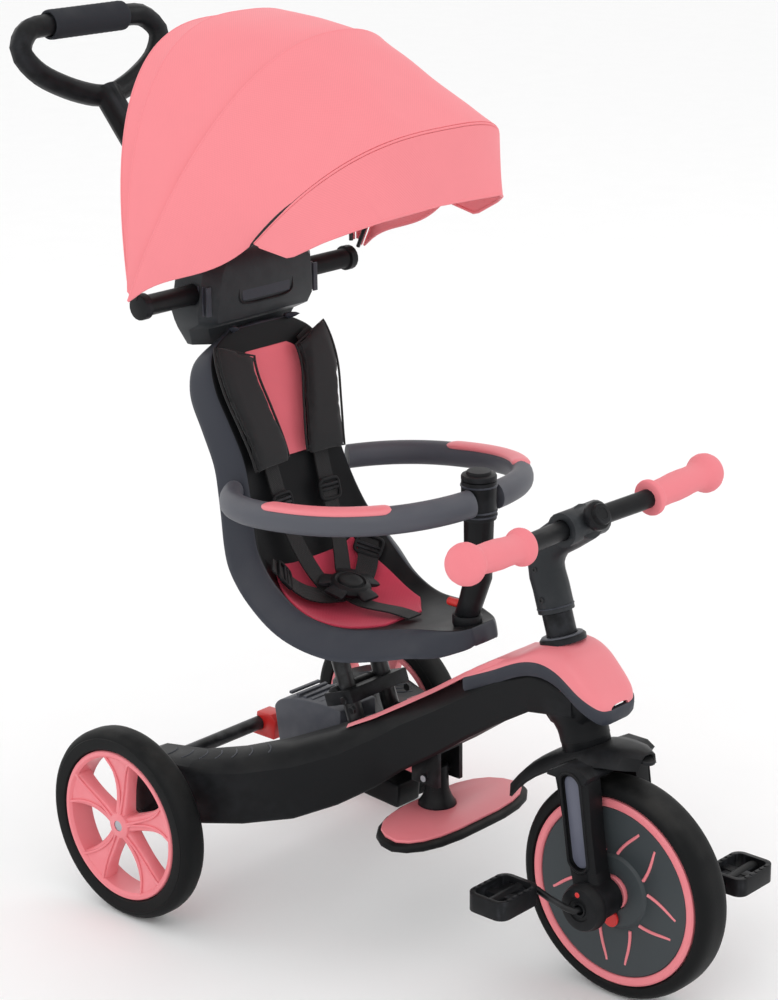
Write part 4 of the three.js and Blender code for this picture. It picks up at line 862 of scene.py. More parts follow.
# slate rim under the cover's edge, round the nose from side to side
edge = [(x, -half, low) for x, half, low, top in noseLine]
edge += [(x, -y, z) for x, y, z in reversed(edge)]
rings = []
for i, (x, y, z) in enumerate(edge):
    before, after = edge[max(i - 1, 0)], edge[min(i + 1, len(edge) - 1)]
    away = Vector((after[1] - before[1], before[0] - after[0], 0)).normalized()
    rings.append([at(x + away.x * out, y + away.y * out, z + up) for out, up in noseLook["rim"]])
noseRim = lofted("nose_rim_smooth", rings)
fit(noseRim, "frame", paints["slatePlastic"], "black_plastic", angle=50)
collarProfile = [(21.5, -4), (26, -4), (26, 1.2), (24.8, 2.6), (22.4, 3), (21.5, 2.2)]
collar = turned("neck_collar", besideSteer(395.5, 0, 0), steerDirection, collarProfile, 72,
                ring=True)
fit(collar, "frame", paints["blackPlastic"], "black_plastic")
housing = turned("steerer_housing", besideSteer(281, 0, 0), steerDirection,
                 [(23, -4), (26.6, -4), (27.4, -3), (27.4, 12), (28.4, 22), (31, 31), (34, 38),
                  (35, 44), (30, 46), (28, 40), (27.8, 8), (23, 6)], 72, ring=True)
fit(housing, "frame", paints["blackPlastic"], "black_plastic", angle=50)
for node, look, slot in (
    ("rear_axle", "zincSteel", "steel"), ("cross_tube", "blackSteel", "black_steel"),
    ("footrest_pin", "zincSteel", "steel"),
):
    dressed(node, "frame", paints[look], slot, angle=40)
dressed("step_latch", "frame", paints["redPlastic"], "red_plastic", 1.0)
dressed("footrest_bracket", "frame", paints["blackPlastic"], "black_plastic", 1.2)
dressed("seat_clamp", "frame", paints["blackPlastic"], "black_plastic", 1.4)
dressed("step_box", "frame", paints["greyPlastic"], "grey_plastic", 1.6)

# ribs across the top of the step
stepLow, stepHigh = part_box("step_box")
ribs = []
for number in range(7):
    x = stepLow.x + 0.022 + number * 0.0118
    ribs.append(block(f"stepRib{number}", Vector((x, 0, stepHigh.z - 0.0016)), (5, 50, 3.4), 0,
                      1.2))
fit(joinPieces("step_ribs", ribs), "frame", paints["greyPlastic"], "grey_plastic")

# curved grip grooves on top of each rear arm, as thin raised bars
armTop = [(-410, -98, 212), (-450, -137, 203), (-500, -163, 194), (-560, -175, 189)]
for side, way in sides.items():
    bars = []
    for number in range(7):
        x, y, z = between(armTop, 0.55 + number * 0.34)
        ahead = Vector(between(armTop, 0.56 + number * 0.34)) - Vector((x, y, z))
        out = Vector((ahead.y, -ahead.x, 0)).normalized()
        middle = Vector((x, y, z)) + out * 1.5
        stops = []
        for step in range(9):
            reach = (step / 8 - 0.5) * 25
            bow = ahead.normalized() * (-3.2 * (1 - (2 * step / 8 - 1) ** 2))
            point = middle + out * reach + bow
            stops.append(at(point.x, -way * point.y, point.z - 0.2))
        bars.append(tube(f"bar{number}", stops, 1.1, 3))
    fit(joinPieces(f"arm_grip_{side}", bars), "frame", paints["slatePlastic"], "black_plastic",
        angle=60)

# the small housing under the beam and the cylinder of the seat clamp
housingLook = {"middle": (-344, 0, 148), "size": (56, 40, 30), "lean": 4, "edge": 5}
beamHousing = block("beam_housing", at(*housingLook["middle"]), housingLook["size"],
                    housingLook["lean"], housingLook["edge"], 4)
fit(beamHousing, "frame", paints["blackPlastic"], "black_plastic")
clampBar = turned("clamp_cylinder", at(-392, -46, 262), across,
                  [(7, 0), (9.4, 1.4), (10, 3), (10, 26), (8.4, 27), (8.4, 30), (10, 31),
                   (10, 60), (8.4, 61), (8.4, 64), (10, 65), (10, 89), (9.4, 90.6), (7, 92)], 40)
fit(clampBar, "frame", paints["blackPlastic"], "black_plastic")
bolts = []
for number, (x, z) in enumerate(((-372, 262), (-360, 253))):
    for way in (-1, 1):
        bolts.append(turned(f"bolt{number}{way}", at(x, way * 49, z), across * way,
                            [(5.2, -3), (5.2, 1.6), (4.4, 2.4), (1.5, 2.4)], 6))
fit(joinPieces("clamp_bolts", bolts), "frame", paints["blackSteel"], "black_steel")
print("frame ready")

rearWheel = {
    "tyre": [(92.2, -14.6), (94, -17.2), (97.4, -18), (106.4, -17.8), (107.2, -17), (108.4, -17),
             (112.6, -14.6), (115.2, -10.6), (116.1, -6.4), (116.2, -2), (116.2, 2), (116.1, 6.4),
             (115.2, 10.6), (112.6, 14.6), (108.4, 17), (107.2, 17), (106.4, 17.8), (97.4, 18),
             (94, 17.2), (92.2, 14.6)],
    "rim": [(84.6, -15.6), (86.2, -17), (90, -17), (91.3, -15.8), (91.6, -14), (91.6, 14),
            (91.3, 15.8), (90, 17), (84.6, 17), (83.4, 15.6), (82.8, 2), (83.2, -14)],
    "hub": [(6.6, -16.6), (13, -16.6), (15, -15.4), (17, -9), (17.6, 2), (15, 8), (6.6, 8)],
    "spokes": 5,
}
for side, way in sides.items():
    hub = Vector((rearAxle.x, way * 0.2293, rearAxle.z))
    outward = across * way
    tyre = turned(f"rear_tyre_{side}_smooth", hub, across, rearWheel["tyre"], 104, ring=True)
    body = f"rear_wheel_{side}"
    fit(tyre, body, paints["tyreRubber"], "black_rubber", [f"rear_tyre_{side}"], 40)
    parts = [
        turned("barrel", hub, -outward, rearWheel["rim"], 104, ring=True),
        turned("hub", hub, -outward, rearWheel["hub"], 48, ring=True),
    ]
    for number in range(rearWheel["spokes"]):
        angle = 2 * pi * number / rearWheel["spokes"] + pi / 2
        along = Vector((cos(angle), 0, sin(angle)))
        beside = Vector((-sin(angle), 0, cos(angle)))

        def spot(reach, offset, out):
            return hub + (along * reach + beside * offset + outward * out) / 1000

        rings = []
        for step in range(11):
            share = step / 10
            reach = 10 + 76 * share
            half = 8.5 + 3.0 * share + 13.5 * share**3.2
            face = 14.4 - 6.2 * sin(pi * min(share * 1.05, 1)) ** 0.8
            rings.append([
                spot(reach, -half, -5), spot(reach, -half, face - 2.4),
                spot(reach, -half + 1.6, face), spot(reach, half - 1.6, face),
                spot(reach, half, face - 2.4), spot(reach, half, -5),
            ])
        parts.append(lofted(f"spoke{number}", rings))
        for edge in (-1, 1):
            stops = []
            for step in range(15):
                share = step / 14
                reach = 12 + 72 * share
                half = 1.2 + 8.2 * share**1.6 + 11.5 * share**4
                face = 14.8 - 6.0 * sin(pi * min(share * 1.05, 1)) ** 0.8
                stops.append(spot(reach, edge * half, face))
            parts.append(tube(f"ridge{number}", stops, 1.7, 3))
    rim = joinPieces(f"rear_rim_{side}_smooth", parts)
    fit(rim, body, paints["coral"], "coral_plastic", [f"rear_rim_{side}"], 38)
    bolt = turned(f"rear_bolt_{side}", hub + outward * 0.0142, outward,
                  [(8.6, -6), (8.6, 1.2), (8, 1.8), (6, 1.8), (5.6, 2.0)], 40)
    fit(bolt, body, paints["zincSteel"], "steel")
print("rear wheels ready")

dressed("footrest_column", "footrest", paints["blackPlastic"], "black_plastic", 1.0, 40)
dressed("footrest_base", "footrest", paints["tyreRubber"], "black_rubber", 3.0, 50)
dressed("footrest_pad", "footrest", paints["coral"], "coral_plastic", 1.2, 40)
print("footrest ready")

seatShape = {
    # middle x and z, half width, and how far the edge stands ahead of and above the middle
    "stations": [
        [-204, 384, 19, 0, 0], [-213, 382, 31, 0, 0], [-231, 379, 42, 0, 2],
        [-262, 371, 55, 0, 9], [-300, 365, 70, 0, 9], [-345, 357, 84, 0, 12],
        [-390, 353, 95, -2, 26], [-428, 362, 99, 0, 42], [-455, 388, 98, 2, 42],
        [-473, 428, 93, 6, 24], [-488, 480, 84, 7, 10], [-500, 530, 79, 4, 4],
        [-513, 575, 86, 2, 2], [-526, 620, 94, 0, 0], [-537, 656, 84, -2, 0],
        [-543, 677, 48, -2, 0],
    ],
    "band": [[22], [26], [32], [36], [38], [40], [40], [40], [40], [41], [42], [44], [45], [45],
             [34], [10]],
    "wall": 5, "perRow": 4, "columns": 33,
}


def seatPoint(row, v):
    x, z, half, riseX, riseZ = between(seatShape["stations"], row)
    bend = abs(v) ** 3
    return Vector(at(x + riseX * bend, half * copysign(abs(v) ** 0.8, v), z + riseZ * bend))


def seatNormal(row, v):
    row = min(max(row, 0.3), 14.7)
    v = min(max(v, -0.98), 0.98)
    ahead = seatPoint(row + 0.2, v) - seatPoint(row - 0.2, v)
    side = seatPoint(row, v - 0.02) - seatPoint(row, v + 0.02)
    return ahead.cross(side).normalized()


def seatShell():
    perRow, columns = seatShape["perRow"], seatShape["columns"]
    rows = [
        [seatPoint(i / perRow, 1 - 2 * j / (columns - 1)) for j in range(columns)]
        for i in range(15 * perRow + 1)
    ]
    last, end = len(rows) - 1, columns - 1
    # share of the band's depth, and flare
    lipSteps = [(0.1, 1.8), (0.3, 3.0), (0.65, 3.2), (1.0, 2.4)]
    grown = []
    for a in range(-len(lipSteps), last + len(lipSteps) + 1):
        line = []
        for b in range(-len(lipSteps), end + len(lipSteps) + 1):
            i, j = min(max(a, 0), last), min(max(b, 0), end)
            past = max(-a, a - last, -b, b - end, 0)
            point = rows[i][j].copy()
            if past:
                share, flare = lipSteps[past - 1]
                depth = between(seatShape["band"], i / perRow)[0] * share / 1000
                normal = seatNormal(i / perRow, 1 - 2 * j / end)
                point -= normal * depth
                if i != a:
                    inner = rows[1 if i == 0 else last - 1][j]
                    point += (rows[i][j] - inner).normalized() * flare / 1000
                if j != b:
                    inner = rows[i][1 if j == 0 else end - 1]
                    point += (rows[i][j] - inner).normalized() * flare / 1000
            line.append(point)
        grown.append(line)
    shell = skin("seat_shell_smooth", grown)
    # the rim band is painted lighter slate than the black bowl: a painted highlight on the black
    # moulding
    paintWith(shell, paints["slatePlastic"], paints["blackPlastic"])
    lips, cells = len(lipSteps), len(grown[0]) - 1
    for face in shell.data.polygons:  # the bowl stays black, the band is painted lighter slate as a painted highlight
        i, j = divmod(face.index, cells)
        face.material_index = int(lips <= i < lips + last and lips <= j < lips + end)
    thicken(shell, seatShape["wall"] / 1000, 1.0)
    outwards(shell)
    subdivide(shell)
    return shell


shell = seatShell()
postFoot = (-372 - (322 - 236) * 0.36397, 0, 322)
mount = block("seat_mount", at(postFoot[0], 0, 332), (70, 96, 44), 0, 5, 4)
nose = turned("seat_nose_mount", at(-226, 0, 377), upwards,
              [(10, 0), (16, 1), (17, 3), (17, 12), (16, 13.7)], 40)
fit(shell, "seat", [paints["slatePlastic"], paints["blackPlastic"]], "black_plastic",
    ["seat_shell"], 40)
fit(mount, "seat", paints["blackPlastic"], "black_plastic")
fit(nose, "seat", paints["blackPlastic"], "black_plastic")
for side in sides:
    dressed(f"seat_post_{side}", "seat", paints["blackSteel"], "black_steel", angle=40)


# a panel that lies on the seat between rows, its half width given as a share
def seatPanel(name, firstRow, lastRow, reach, lift, thickness, steps=28, columns=17):
    rows = []
    for i in range(steps + 1):
        share = i / steps
        row = firstRow + (lastRow - firstRow) * share
        line = []
        for j in range(columns):
            v = (1 - 2 * j / (columns - 1)) * reach(share)
            line.append(seatPoint(row, v) + seatNormal(row, v) * lift / 1000)
        rows.append(line)
    piece = skin(name, rows)
    thicken(piece, thickness / 1000, 1.0)
    outwards(piece)
    return piece


backLook = {"first": 10.9, "last": 13.8, "low": 0.26, "high": 0.5, "lift": 0.6, "thick": 2.2}
backPanel = seatPanel(
    "seat_back_insert", backLook["first"], backLook["last"],
    lambda share: (backLook["low"] + (backLook["high"] - backLook["low"]) * share**0.6)
    * min(1, 0.35 + 6 * (1 - share)) ** 0.5,
    backLook["lift"], backLook["thick"],
)
softenEdges(backPanel, 0.0009, 3)
fit(backPanel, "seat", paints["insertCloth"], "coral_plastic", ["seat_back_panel"], 40)
baseLook = {"first": 4.5, "last": 8.5, "lift": 2.6, "thick": 3.4}
basePad = seatPanel(
    "seat_base_insert", baseLook["first"], baseLook["last"],
    lambda share: (0.62 + 0.18 * sin(pi * share)) * min(1, 0.45 + 3.2 * share) ** 0.8,
    baseLook["lift"], baseLook["thick"],
)
softenEdges(basePad, 0.0012, 3)
fit(basePad, "seat", paints["baseCloth"], "coral_plastic", ["seat_base_pad"], 40)
print("seat ready")

def strapLine(stops, perSpan=7):
    return [
        (seatPoint(row, v) + seatNormal(row, v) * lift / 1000, seatNormal(row, v))
        for row, v, lift in smoothLine(stops, perSpan)
    ]


def strapRows(stops, width, columns=7, perSpan=7):
    line = strapLine(stops, perSpan)
    rows = []
    for i, (point, normal) in enumerate(line):
        ahead = line[min(i + 1, len(line) - 1)][0] - line[max(i - 1, 0)][0]
        side = ahead.cross(normal).normalized() * width / 2000
        rows.append([point + side * (2 * j / (columns - 1) - 1) for j in range(columns)])
    return rows


def strap(name, stops, width, thickness=2.0):
    piece = skin(name, strapRows(stops, width))
    thicken(piece, thickness / 1000, 0)
    outwards(piece)
    return piece


webLook = {"width": 22, "hipWidth": 25}
straps = []
for way in (1, -1):
    straps.append(strap("shoulderStrap", [
        [14.0, way * 0.62, 5.6], [13.4, way * 0.6, 5.8], [12.6, way * 0.56, 6],
        [11.6, way * 0.5, 6.2],
        [10.6, way * 0.44, 7.4], [9.6, way * 0.36, 12.6], [8.4, way * 0.22, 17.6],
        [7.7, way * 0.14, 16], [7.2, way * 0.1, 15], [6.6, way * 0.03, 15]], webLook["width"]))
    straps.append(strap("hipStrap", [
        [8.1, way * 0.86, 7], [7.9, way * 0.76, 10], [7.5, way * 0.6, 13], [7.1, way * 0.35, 15],
        [6.7, way * 0.05, 15]], webLook["hipWidth"]))
straps.append(strap("crotchStrap", [
    [4.1, 0, 4], [4.7, 0, 10], [5.4, 0, 12], [6.6, 0, 15]], webLook["width"]))
webbing = joinPieces("harness_straps", straps)
fit(webbing, "seat", paints["webbing"], "webbing_fabric", ["harness_webbing"], 50)

padLook = {"width": 60, "thick": 9.5, "lift": 8.2, "cap": 0.0035, "voxel": 0.004}


def padRings(stops, width, thickness):
    line = strapLine(stops, 6)
    rings = []
    count = len(line) - 1
    for i, (point, normal) in enumerate(line):
        ahead = line[min(i + 1, count)][0] - line[max(i - 1, 0)][0]
        side = ahead.cross(normal).normalized()
        fromEnd = min(i, count - i)
        ease = min(1.0, 0.62 + 0.2 * fromEnd)
        ring = []
        for k in range(20):
            angle = 2 * pi * k / 20
            out = copysign(abs(cos(angle)) ** 0.55, cos(angle)) * width / 2 * (0.94 + 0.06 * ease)
            lift = copysign(abs(sin(angle)) ** 0.8, sin(angle)) * thickness / 2 * ease
            ring.append(point + (side * out + normal * (lift + thickness / 2)) / 1000)
        rings.append(ring)
    return rings


# stuffed by a short cloth simulation with inner pressure, then held within a cap
def stuff(piece, cap, voxel):
    useModifier(piece, "REMESH", mode="VOXEL", voxel_size=voxel)
    rest = [vertex.co.copy() for vertex in piece.data.vertices]
    cloth = piece.modifiers.new("filling", "CLOTH")
    cloth.settings.use_pressure = True
    cloth.settings.uniform_pressure_force = 4
    cloth.settings.quality = 6
    cloth.settings.effector_weights.gravity = 0
    for step in range(1, 21):
        bpy.context.scene.frame_set(step)
    ready = piece.evaluated_get(bpy.context.evaluated_depsgraph_get())
    swollen = [vertex.co.copy() for vertex in ready.data.vertices]
    piece.modifiers.remove(cloth)
    bpy.context.scene.frame_set(1)
    for vertex, before, after in zip(piece.data.vertices, rest, swollen):
        move = after - before
        if move.length > cap:
            move = move.normalized() * cap
        vertex.co = before + move
    subdivide(piece)


for side, way in sides.items():
    stops = [[13.95, way * 0.66, padLook["lift"]], [13.4, way * 0.65, padLook["lift"] + 1],
             [12.6, way * 0.62, padLook["lift"] + 2], [11.6, way * 0.56, padLook["lift"] + 2],
             [10.75, way * 0.5, padLook["lift"] + 1]]
    rings = padRings(stops, padLook["width"], padLook["thick"])
    pad = lofted(f"shoulder_pad_{side}_stuffed", rings)
    stuff(pad, padLook["cap"], padLook["voxel"])
    fit(pad, "seat", paints["padCloth"], "pad_fabric", [f"shoulder_pad_{side}"], 60)
    # bound edge and the sewn line inside it
    seams = []
    for inset, radius, lift in ((0.2, 1.5, 4.6), (4.6, 0.7, 8.9)):
        line = strapLine(stops, 6)
        loop = []
        half = padLook["width"] / 2 - inset
        for reach in (half, -half):
            walk = line if reach > 0 else line[::-1]
            walk = walk[1:-1] if inset < 1 else walk[2:-2]
            for i, (point, normal) in enumerate(walk):
                other = walk[min(i + 1, len(walk) - 1)][0] - walk[max(i - 1, 0)][0]
                sideways = (other if reach > 0 else -other).cross(normal).normalized()
                loop.append(point + (sideways * reach + normal * lift) / 1000)
        seams.append(tube("seam", loop, radius, 2, closedLoop=True))
    fit(joinPieces(f"shoulder_pad_{side}_binding", seams), "seat", paints["webbing"],
        "webbing_fabric", angle=60)


# a webbing slider: a rounded frame with a middle bar, laid on a strap
def slider(name, row, v, lift, heading, width=30, length=24):
    centre = seatPoint(row, v) + seatNormal(row, v) * lift / 1000
    normal = seatNormal(row, v)
    ahead = (seatPoint(row + heading[0], v + heading[1]) - seatPoint(row, v)).normalized()
    side = ahead.cross(normal).normalized()
    ahead = normal.cross(side).normalized()
    loop = []
    for k in range(40):
        angle = 2 * pi * k / 40
        out = copysign(abs(cos(angle)) ** 0.4, cos(angle)) * width / 2
        reach = copysign(abs(sin(angle)) ** 0.4, sin(angle)) * length / 2
        loop.append(centre + (side * out + ahead * reach) / 1000)
    bars = [tube("frameBar", loop, 2.2, 3, closedLoop=True)]
    for reach in (0.0, 0.22):
        ends = [centre + (side * w * width / 2 + ahead * reach * length) / 1000 for w in (-1, 1)]
        bars.append(tube("middleBar", ends, 1.9, 3))
    return fit(joinPieces(name, bars), "seat", paints["blackPlastic"], "black_plastic", angle=60)


for side, way in sides.items():
    slider(f"shoulder_slider_{side}", 9.9, way * 0.39, 13, (1, way * 0.05))
    slider(f"hip_slider_{side}", 7.82, way * 0.74, 12.5, (-0.25, -way * 0.2), 32, 24)

# round buckle with a raised rim, a push button and the three latch arms
buckleRow = 6.6
buckleAxis = seatNormal(buckleRow, 0)
buckleSpot = seatPoint(buckleRow, 0) + buckleAxis * 0.023
buckle = turned("harness_buckle_body", buckleSpot, buckleAxis,
                [(20, 0), (23.4, 0.6), (25.6, 3.4), (26, 5.6), (24.8, 8), (22, 10.4), (18.6, 11.6),
                 (17.6, 11.2), (16.8, 10.2), (15.6, 10), (15, 10.6), (14.4, 12.2), (12.6, 13),
                 (6, 12.6), (1, 12.4)], 64)
fit(buckle, "seat", paints["blackPlastic"], "black_plastic", ["harness_buckle"])
arms = []
buckleUp = (seatPoint(7.2, 0) - seatPoint(6.2, 0)).normalized()
for angle in (38, -38, 100, -100, 180):
    heading = Matrix.Rotation(radians(angle), 3, buckleAxis) @ buckleUp
    side = heading.cross(buckleAxis).normalized()
    rings = []
    for reach, half, low, high in (
        (18, 9.5, 1, 9), (24, 11, 0.5, 7.4), (31, 12.4, 0, 5.4), (36, 12, 0.6, 4),
    ):
        rings.append([
            buckleSpot + (heading * reach + side * a * half + buckleAxis * b) / 1000
            for a, b in ((-1, low + 1), (-1, high - 1), (-0.8, high), (0.8, high), (1, high - 1),
                         (1, low + 1), (0.8, low), (-0.8, low))
        ])
    arms.append(lofted("latchArm", rings))
fit(joinPieces("harness_buckle_arms", arms), "seat", paints["blackPlastic"], "black_plastic",
    angle=30)
print("harness ready")

ringLook = {"front": -203, "rear": -522, "half": 158, "z": 514, "tilt": 0.1, "radius": 14.5}


def ringPoint(angle, way, out=0, lift=0):
    middle = (ringLook["front"] + ringLook["rear"]) / 2
    reach = (ringLook["front"] - ringLook["rear"]) / 2 + out
    t = radians(angle)
    x = middle + reach * copysign(abs(cos(t)) ** 0.85, cos(t))
    y = way * (ringLook["half"] + out) * abs(sin(t)) ** 0.85
    return Vector(at(x, y, ringLook["z"] + ringLook["tilt"] * (x - middle) + lift))


# oval tube along the ring, its section leaning inwards at the top
def ringRows(way, first, last, steps, wide, tall, shift=0.0, lift=0.0, fade=0):
    rows = []
    for i in range(steps + 1):
        share = i / steps
        angle = first + (last - first) * share
        centre = ringPoint(angle, way)
        ahead = (ringPoint(angle + 1, way) - ringPoint(angle - 1, way)).normalized()
        out = ahead.cross(upwards).normalized() * way * -1
        if (centre - at(-362, 0, 514)).dot(out) < 0:
            out = -out
        tip = upwards - out * 0.12
        ease = min(1.0, 0.02 + min(share, 1 - share) * fade) ** 0.5 if fade else 1.0
        ring = []
        for k in range(20):
            a = 2 * pi * k / 20
            beside = out * (cos(a) * wide * ease + shift)
            above = tip * (sin(a) * tall * ease + lift)
            ring.append(centre + (beside + above) / 1000)
        rows.append(ring)
    return rows


for side, way in sides.items():
    ring = lofted(f"ring_half_{side}_smooth", ringRows(way, 5.6, 146, 60, 12.6, 15.4))
    fit(ring, f"ring_{side}", paints["greyPlastic"], "black_plastic", [f"ring_half_{side}"], 60)
    inlay = lofted(f"ring_inlay_{side}", ringRows(way, 40, 98, 40, 11.2, 5.2, 0, 11.6, 12))
    fit(inlay, f"ring_{side}", paints["coral"], "coral_plastic", angle=60)

dressed("ring_post", "seat", paints["blackPlastic"], "black_plastic", 1.0, 42)
dressed("ring_release", "release", paints["redPlastic"], "red_plastic", 0.8, 42)
postTop = at(-209, 0, 514 + 0.1 * (-209 + 362.5))
cap = turned("ring_button_cap", postTop + Vector((0, 0, 0.027)), upwards,
             [(12.6, -9), (13, -8.4), (13, -4), (19.4, -4), (20, -3.2), (20, 0.6), (19.2, 2),
              (15.4, 2.8), (14.6, 3), (14.2, 5.2), (13.2, 6.2), (1, 6.6)], 64)
fit(cap, "button", paints["blackPlastic"], "black_plastic", ["ring_button"])
for number, z in enumerate((-17, -12, 17)):
    collar = turned(f"post_collar_{number + 1}", postTop + Vector((0, 0, z / 1000)), upwards,
                    [(19.8, -1.1), (20.9, -0.6), (20.9, 0.6), (19.8, 1.1)], 64, ring=True)
    fit(collar, "seat", paints["slatePlastic"], "black_plastic")
print("safety ring ready")

dressed("head_box", "seat", paints["charcoalPlastic"], "black_plastic", 2.2, 34)
dressed("push_pole", "seat", paints["zincSteel"], "steel", angle=40)
dressed("push_handle", "handle", paints["blackPlastic"], "black_plastic", angle=50)

# raised plain frame on the front of the head box, with a sunk panel
frameRows = []
for k in range(48):
    angle = 2 * pi * k / 48
    y = copysign(abs(cos(angle)) ** 0.45, cos(angle)) * 44
    z = copysign(abs(sin(angle)) ** 0.45, sin(angle)) * 17
    frameRows.append(at(-533.2 - 0.04 * z, y, 724 + z))
fit(tube("head_box_frame", frameRows, 1.5, 3, closedLoop=True), "seat", paints["blackPlastic"],
    "black_plastic", angle=60)
panel = block("head_box_panel", at(-534.4, 0, 724), (4.6, 78, 25), -2, 1.8, 3)
fit(panel, "seat", paints["slatePlastic"], "black_plastic")
slots = []
for way in (-1, 1):
    for number in range(3):
        spot = at(-538 - 7 * number, way * (87.5 - number * 0.2), 718)
        slots.append(block(f"slot{number}", spot, (2.4, 7, 34), 0, 0.9, 2))
fit(joinPieces("head_box_ribs", slots), "seat", paints["slatePlastic"], "black_plastic")

sleeveLook = {"centre": (-828, 0, 1006), "radius": 18, "half": 59}
sleeve = turned(
    "handle_sleeve_padded", at(*sleeveLook["centre"]), across,
    [(14.4, -58.4), (16.6, -59), (17.6, -57.6), (18, -54)]
    + [(18 - 0.25 * (i % 2), -50 + i * 4) for i in range(26)]
    + [(18, 54), (17.6, 57.6), (16.6, 59), (14.4, 58.4)], 56, ring=True,
)
fit(sleeve, "handle", paints["foam"], "foam_sleeve", ["handle_sleeve"], 60)
print("handle ready")

canopyLook = {
    "pivot": (-562, 724), "columns": 73, "rows": 12, "cloth": 1.1, "piping": 1.5, "hem": 1.7,
    "rear": dict(angle=97, reach=306, width=184, power=2.7),
    "seamA": dict(angle=89.8, reach=309, width=183, power=2.7),
    "seamAover": dict(angle=89.2, reach=313, width=188, power=2.7),
    "seamB": dict(angle=64.2, reach=333, width=189, power=2.3),
    "seamBover": dict(angle=63.6, reach=337, width=194, power=2.3),
    "foldHalf": 158,
    "visorEdge": [[0, -262, 0, 852], [0.5, -261, 98, 849], [0.62, -280, 124, 840],
                  [0.74, -303, 143, 829], [0.88, -344, 153, 808], [1, -384, 157, 815]],
}
pivotX, pivotZ = canopyLook["pivot"]


def aroundPivot(angle, reach, y):
    a = radians(angle)
    return Vector(at(pivotX + reach * cos(a), y, pivotZ + reach * sin(a)))


def archStop(arch, s, inset=0.0):
    t = s * pi * 0.492
    y = (arch["width"] - inset) * copysign(abs(sin(t)) ** (2 / arch["power"]), t)
    return arch["angle"], (arch["reach"] - inset) * cos(t) ** (2 / arch["power"]), y


def archPoint(arch, s, inset=0.0):
    return aroundPivot(*archStop(arch, s, inset))


def crossing(count):
    return [2 * j / (count - 1) - 1 for j in range(count)]


def archPanel(rear, front, sag):
    rows = []
    for i in range(canopyLook["rows"] + 1):
        t = i / canopyLook["rows"]
        line = []
        for s in crossing(canopyLook["columns"]):
            a, b = archStop(rear, s), archStop(front, s)
            angle, reach, y = [p + (q - p) * t for p, q in zip(a, b)]
            line.append(aroundPivot(angle, reach - sag * sin(pi * t) * cos(s * pi / 2) ** 0.5, y))
        rows.append(line)
    return rows


def visorFold(s, drop=0.0):
    t = s * pi * 0.5
    y = canopyLook["foldHalf"] * copysign(abs(sin(t)) ** (2 / 2.9), t)
    share = max(cos(t), 0) ** (2 / 2.9)
    return Vector(at(-392 + 133 * share + drop * 0.5, y, 820 + 116 * share - drop))


def roofPoint(t, s):
    angleB, reachB, yB = archStop(canopyLook["seamBover"], s)
    fold = visorFold(s)
    x, y, z = (fold.x - axleX) * 1000, fold.y * 1000, fold.z * 1000
    frontAngle, frontReach = degrees(atan2(z - pivotZ, x - pivotX)), hypot(z - pivotZ, x - pivotX)
    edge = abs(s) ** 6
    share = t ** (1 + (0.4 - 1) * edge)
    angle = angleB + (frontAngle - angleB) * share - 8 * edge * sin(pi * t)
    hem = aroundPivot(angle, reachB + (frontReach - reachB) * t, yB + (y - yB) * t)
    return aroundPivot(angleB, reachB, yB).lerp(fold, t).lerp(hem, edge)


def visorEdge(s):
    stops = canopyLook["visorEdge"]
    for a, b in zip(stops, stops[1:]):
        if abs(s) <= b[0]:
            break
    f = (abs(s) - a[0]) / (b[0] - a[0])
    x, y, z = [p + (q - p) * f for p, q in zip(a[1:], b[1:])]
    return Vector(at(x, copysign(y, s), z))


noise.seed_set(1)  # without a seed the slack differs from run to run


# small uneven slack over the cloth, the same in each run
def relaxed(rows, amount):
    last = len(rows) - 1
    for i, row in enumerate(rows):
        for j, point in enumerate(row):
            away = min(i, last - i, 4) / 4 * min(j, len(row) - 1 - j, 6) / 6
            row[j] = point + noise.noise_vector(point * 16) * amount * away
    return rows


def lineLength(points):
    return sum((q - p).length for p, q in zip(points, points[1:]))


def clothPiece(name, rows, body, stoodFor):
    middle = len(rows[0]) // 2
    wide = max(lineLength(row) for row in rows)
    long = max(lineLength([row[j] for row in rows]) for j in (middle, middle // 2, 0))
    piece = skin(name, rows)
    # the sheet's inner face takes the second, deeper pink copy of the cloth: a painted shade
    useModifier(piece, "SOLIDIFY", thickness=canopyLook["cloth"] / 1000, offset=-1,
                use_even_offset=True, material_offset=1)
    fit(piece, body, [paints["canopyCloth"], paints["canopyShadedInside"]], "canopy_fabric", stoodFor, 60)
    return piece


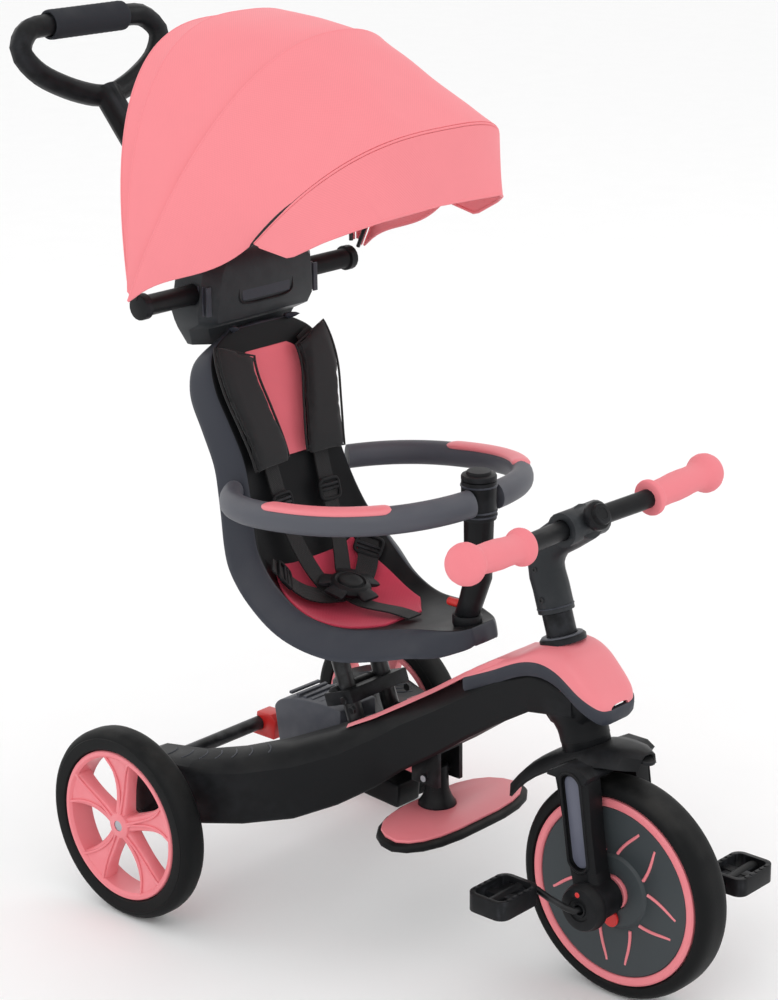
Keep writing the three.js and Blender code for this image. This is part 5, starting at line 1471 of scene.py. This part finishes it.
crossings = crossing(canopyLook["columns"])
rearRows = relaxed(archPanel(canopyLook["rear"], canopyLook["seamA"], 1.5), 0.0012)
midRows = relaxed(archPanel(canopyLook["seamAover"], canopyLook["seamB"], 5), 0.002)
roofRows = relaxed([[roofPoint(i / 18, s) for s in crossings] for i in range(19)], 0.002)
visorRows = [
    [visorFold(s, 3).lerp(visorEdge(s), i / 7) for s in crossings] for i in range(8)
]
clothPiece("canopy_rear_cloth", rearRows, "seat", ["canopy_rear"])
clothPiece("canopy_mid_cloth", midRows, "canopy_middle", ["canopy_mid"])
clothPiece("canopy_roof_cloth", roofRows, "canopy_roof", ["canopy_front"])
clothPiece("canopy_visor_cloth", visorRows, "canopy_roof", ["canopy_visor"])


def piping(name, points, body, radius=None):
    piece = tube(name, points, radius or canopyLook["piping"], 3)
    return fit(piece, body, paints["canopyCloth"], "canopy_fabric", angle=60)


piping("canopy_piping_rear", rearRows[0], "seat", canopyLook["hem"])
piping("canopy_piping_a", midRows[0], "canopy_middle")
piping("canopy_piping_b", roofRows[0], "canopy_roof")
piping("canopy_piping_fold", [visorFold(s, 1.5) for s in crossings], "canopy_roof")
piping("canopy_hem_visor", visorRows[-1], "canopy_roof", canopyLook["hem"])
for side, way in sides.items():
    column = -1 if way > 0 else 0
    piping(f"canopy_hem_roof_{side}", [row[column] for row in roofRows], "canopy_roof",
           canopyLook["hem"])
for name, arch, body in (
    ("canopy_bow_rear", "seamA", "seat"), ("canopy_bow_middle", "seamB", "canopy_middle"),
):
    points = [archPoint(canopyLook[arch], s, 6.0) for s in crossings]
    fit(tube(name, points, 2.6, 4), body, paints["blackSteel"], "black_steel", angle=60)
frontBow = [visorFold(s) + Vector((-0.006, 0, -0.005)) for s in crossings]
fit(tube("canopy_bow_front", frontBow, 2.6, 4), "canopy_roof", paints["blackSteel"],
    "black_steel", angle=60)
dressed("canopy_tube", "seat", paints["blackPlastic"], "black_plastic", 1.0, 42)
hubs = []
for way in (-1, 1):
    hubs.append(turned("lug", at(pivotX, way * 166, pivotZ), across * way,
                       [(13, -3), (15, -2), (15, 4), (14, 5.2), (9, 5.2), (8.4, 4.2), (6, 4.2),
                        (5.6, 5.8), (1, 6)], 48))
fit(joinPieces("canopy_lug_caps", hubs), "seat", paints["blackPlastic"], "black_plastic")
print("canopy ready")

print("all pieces ready")
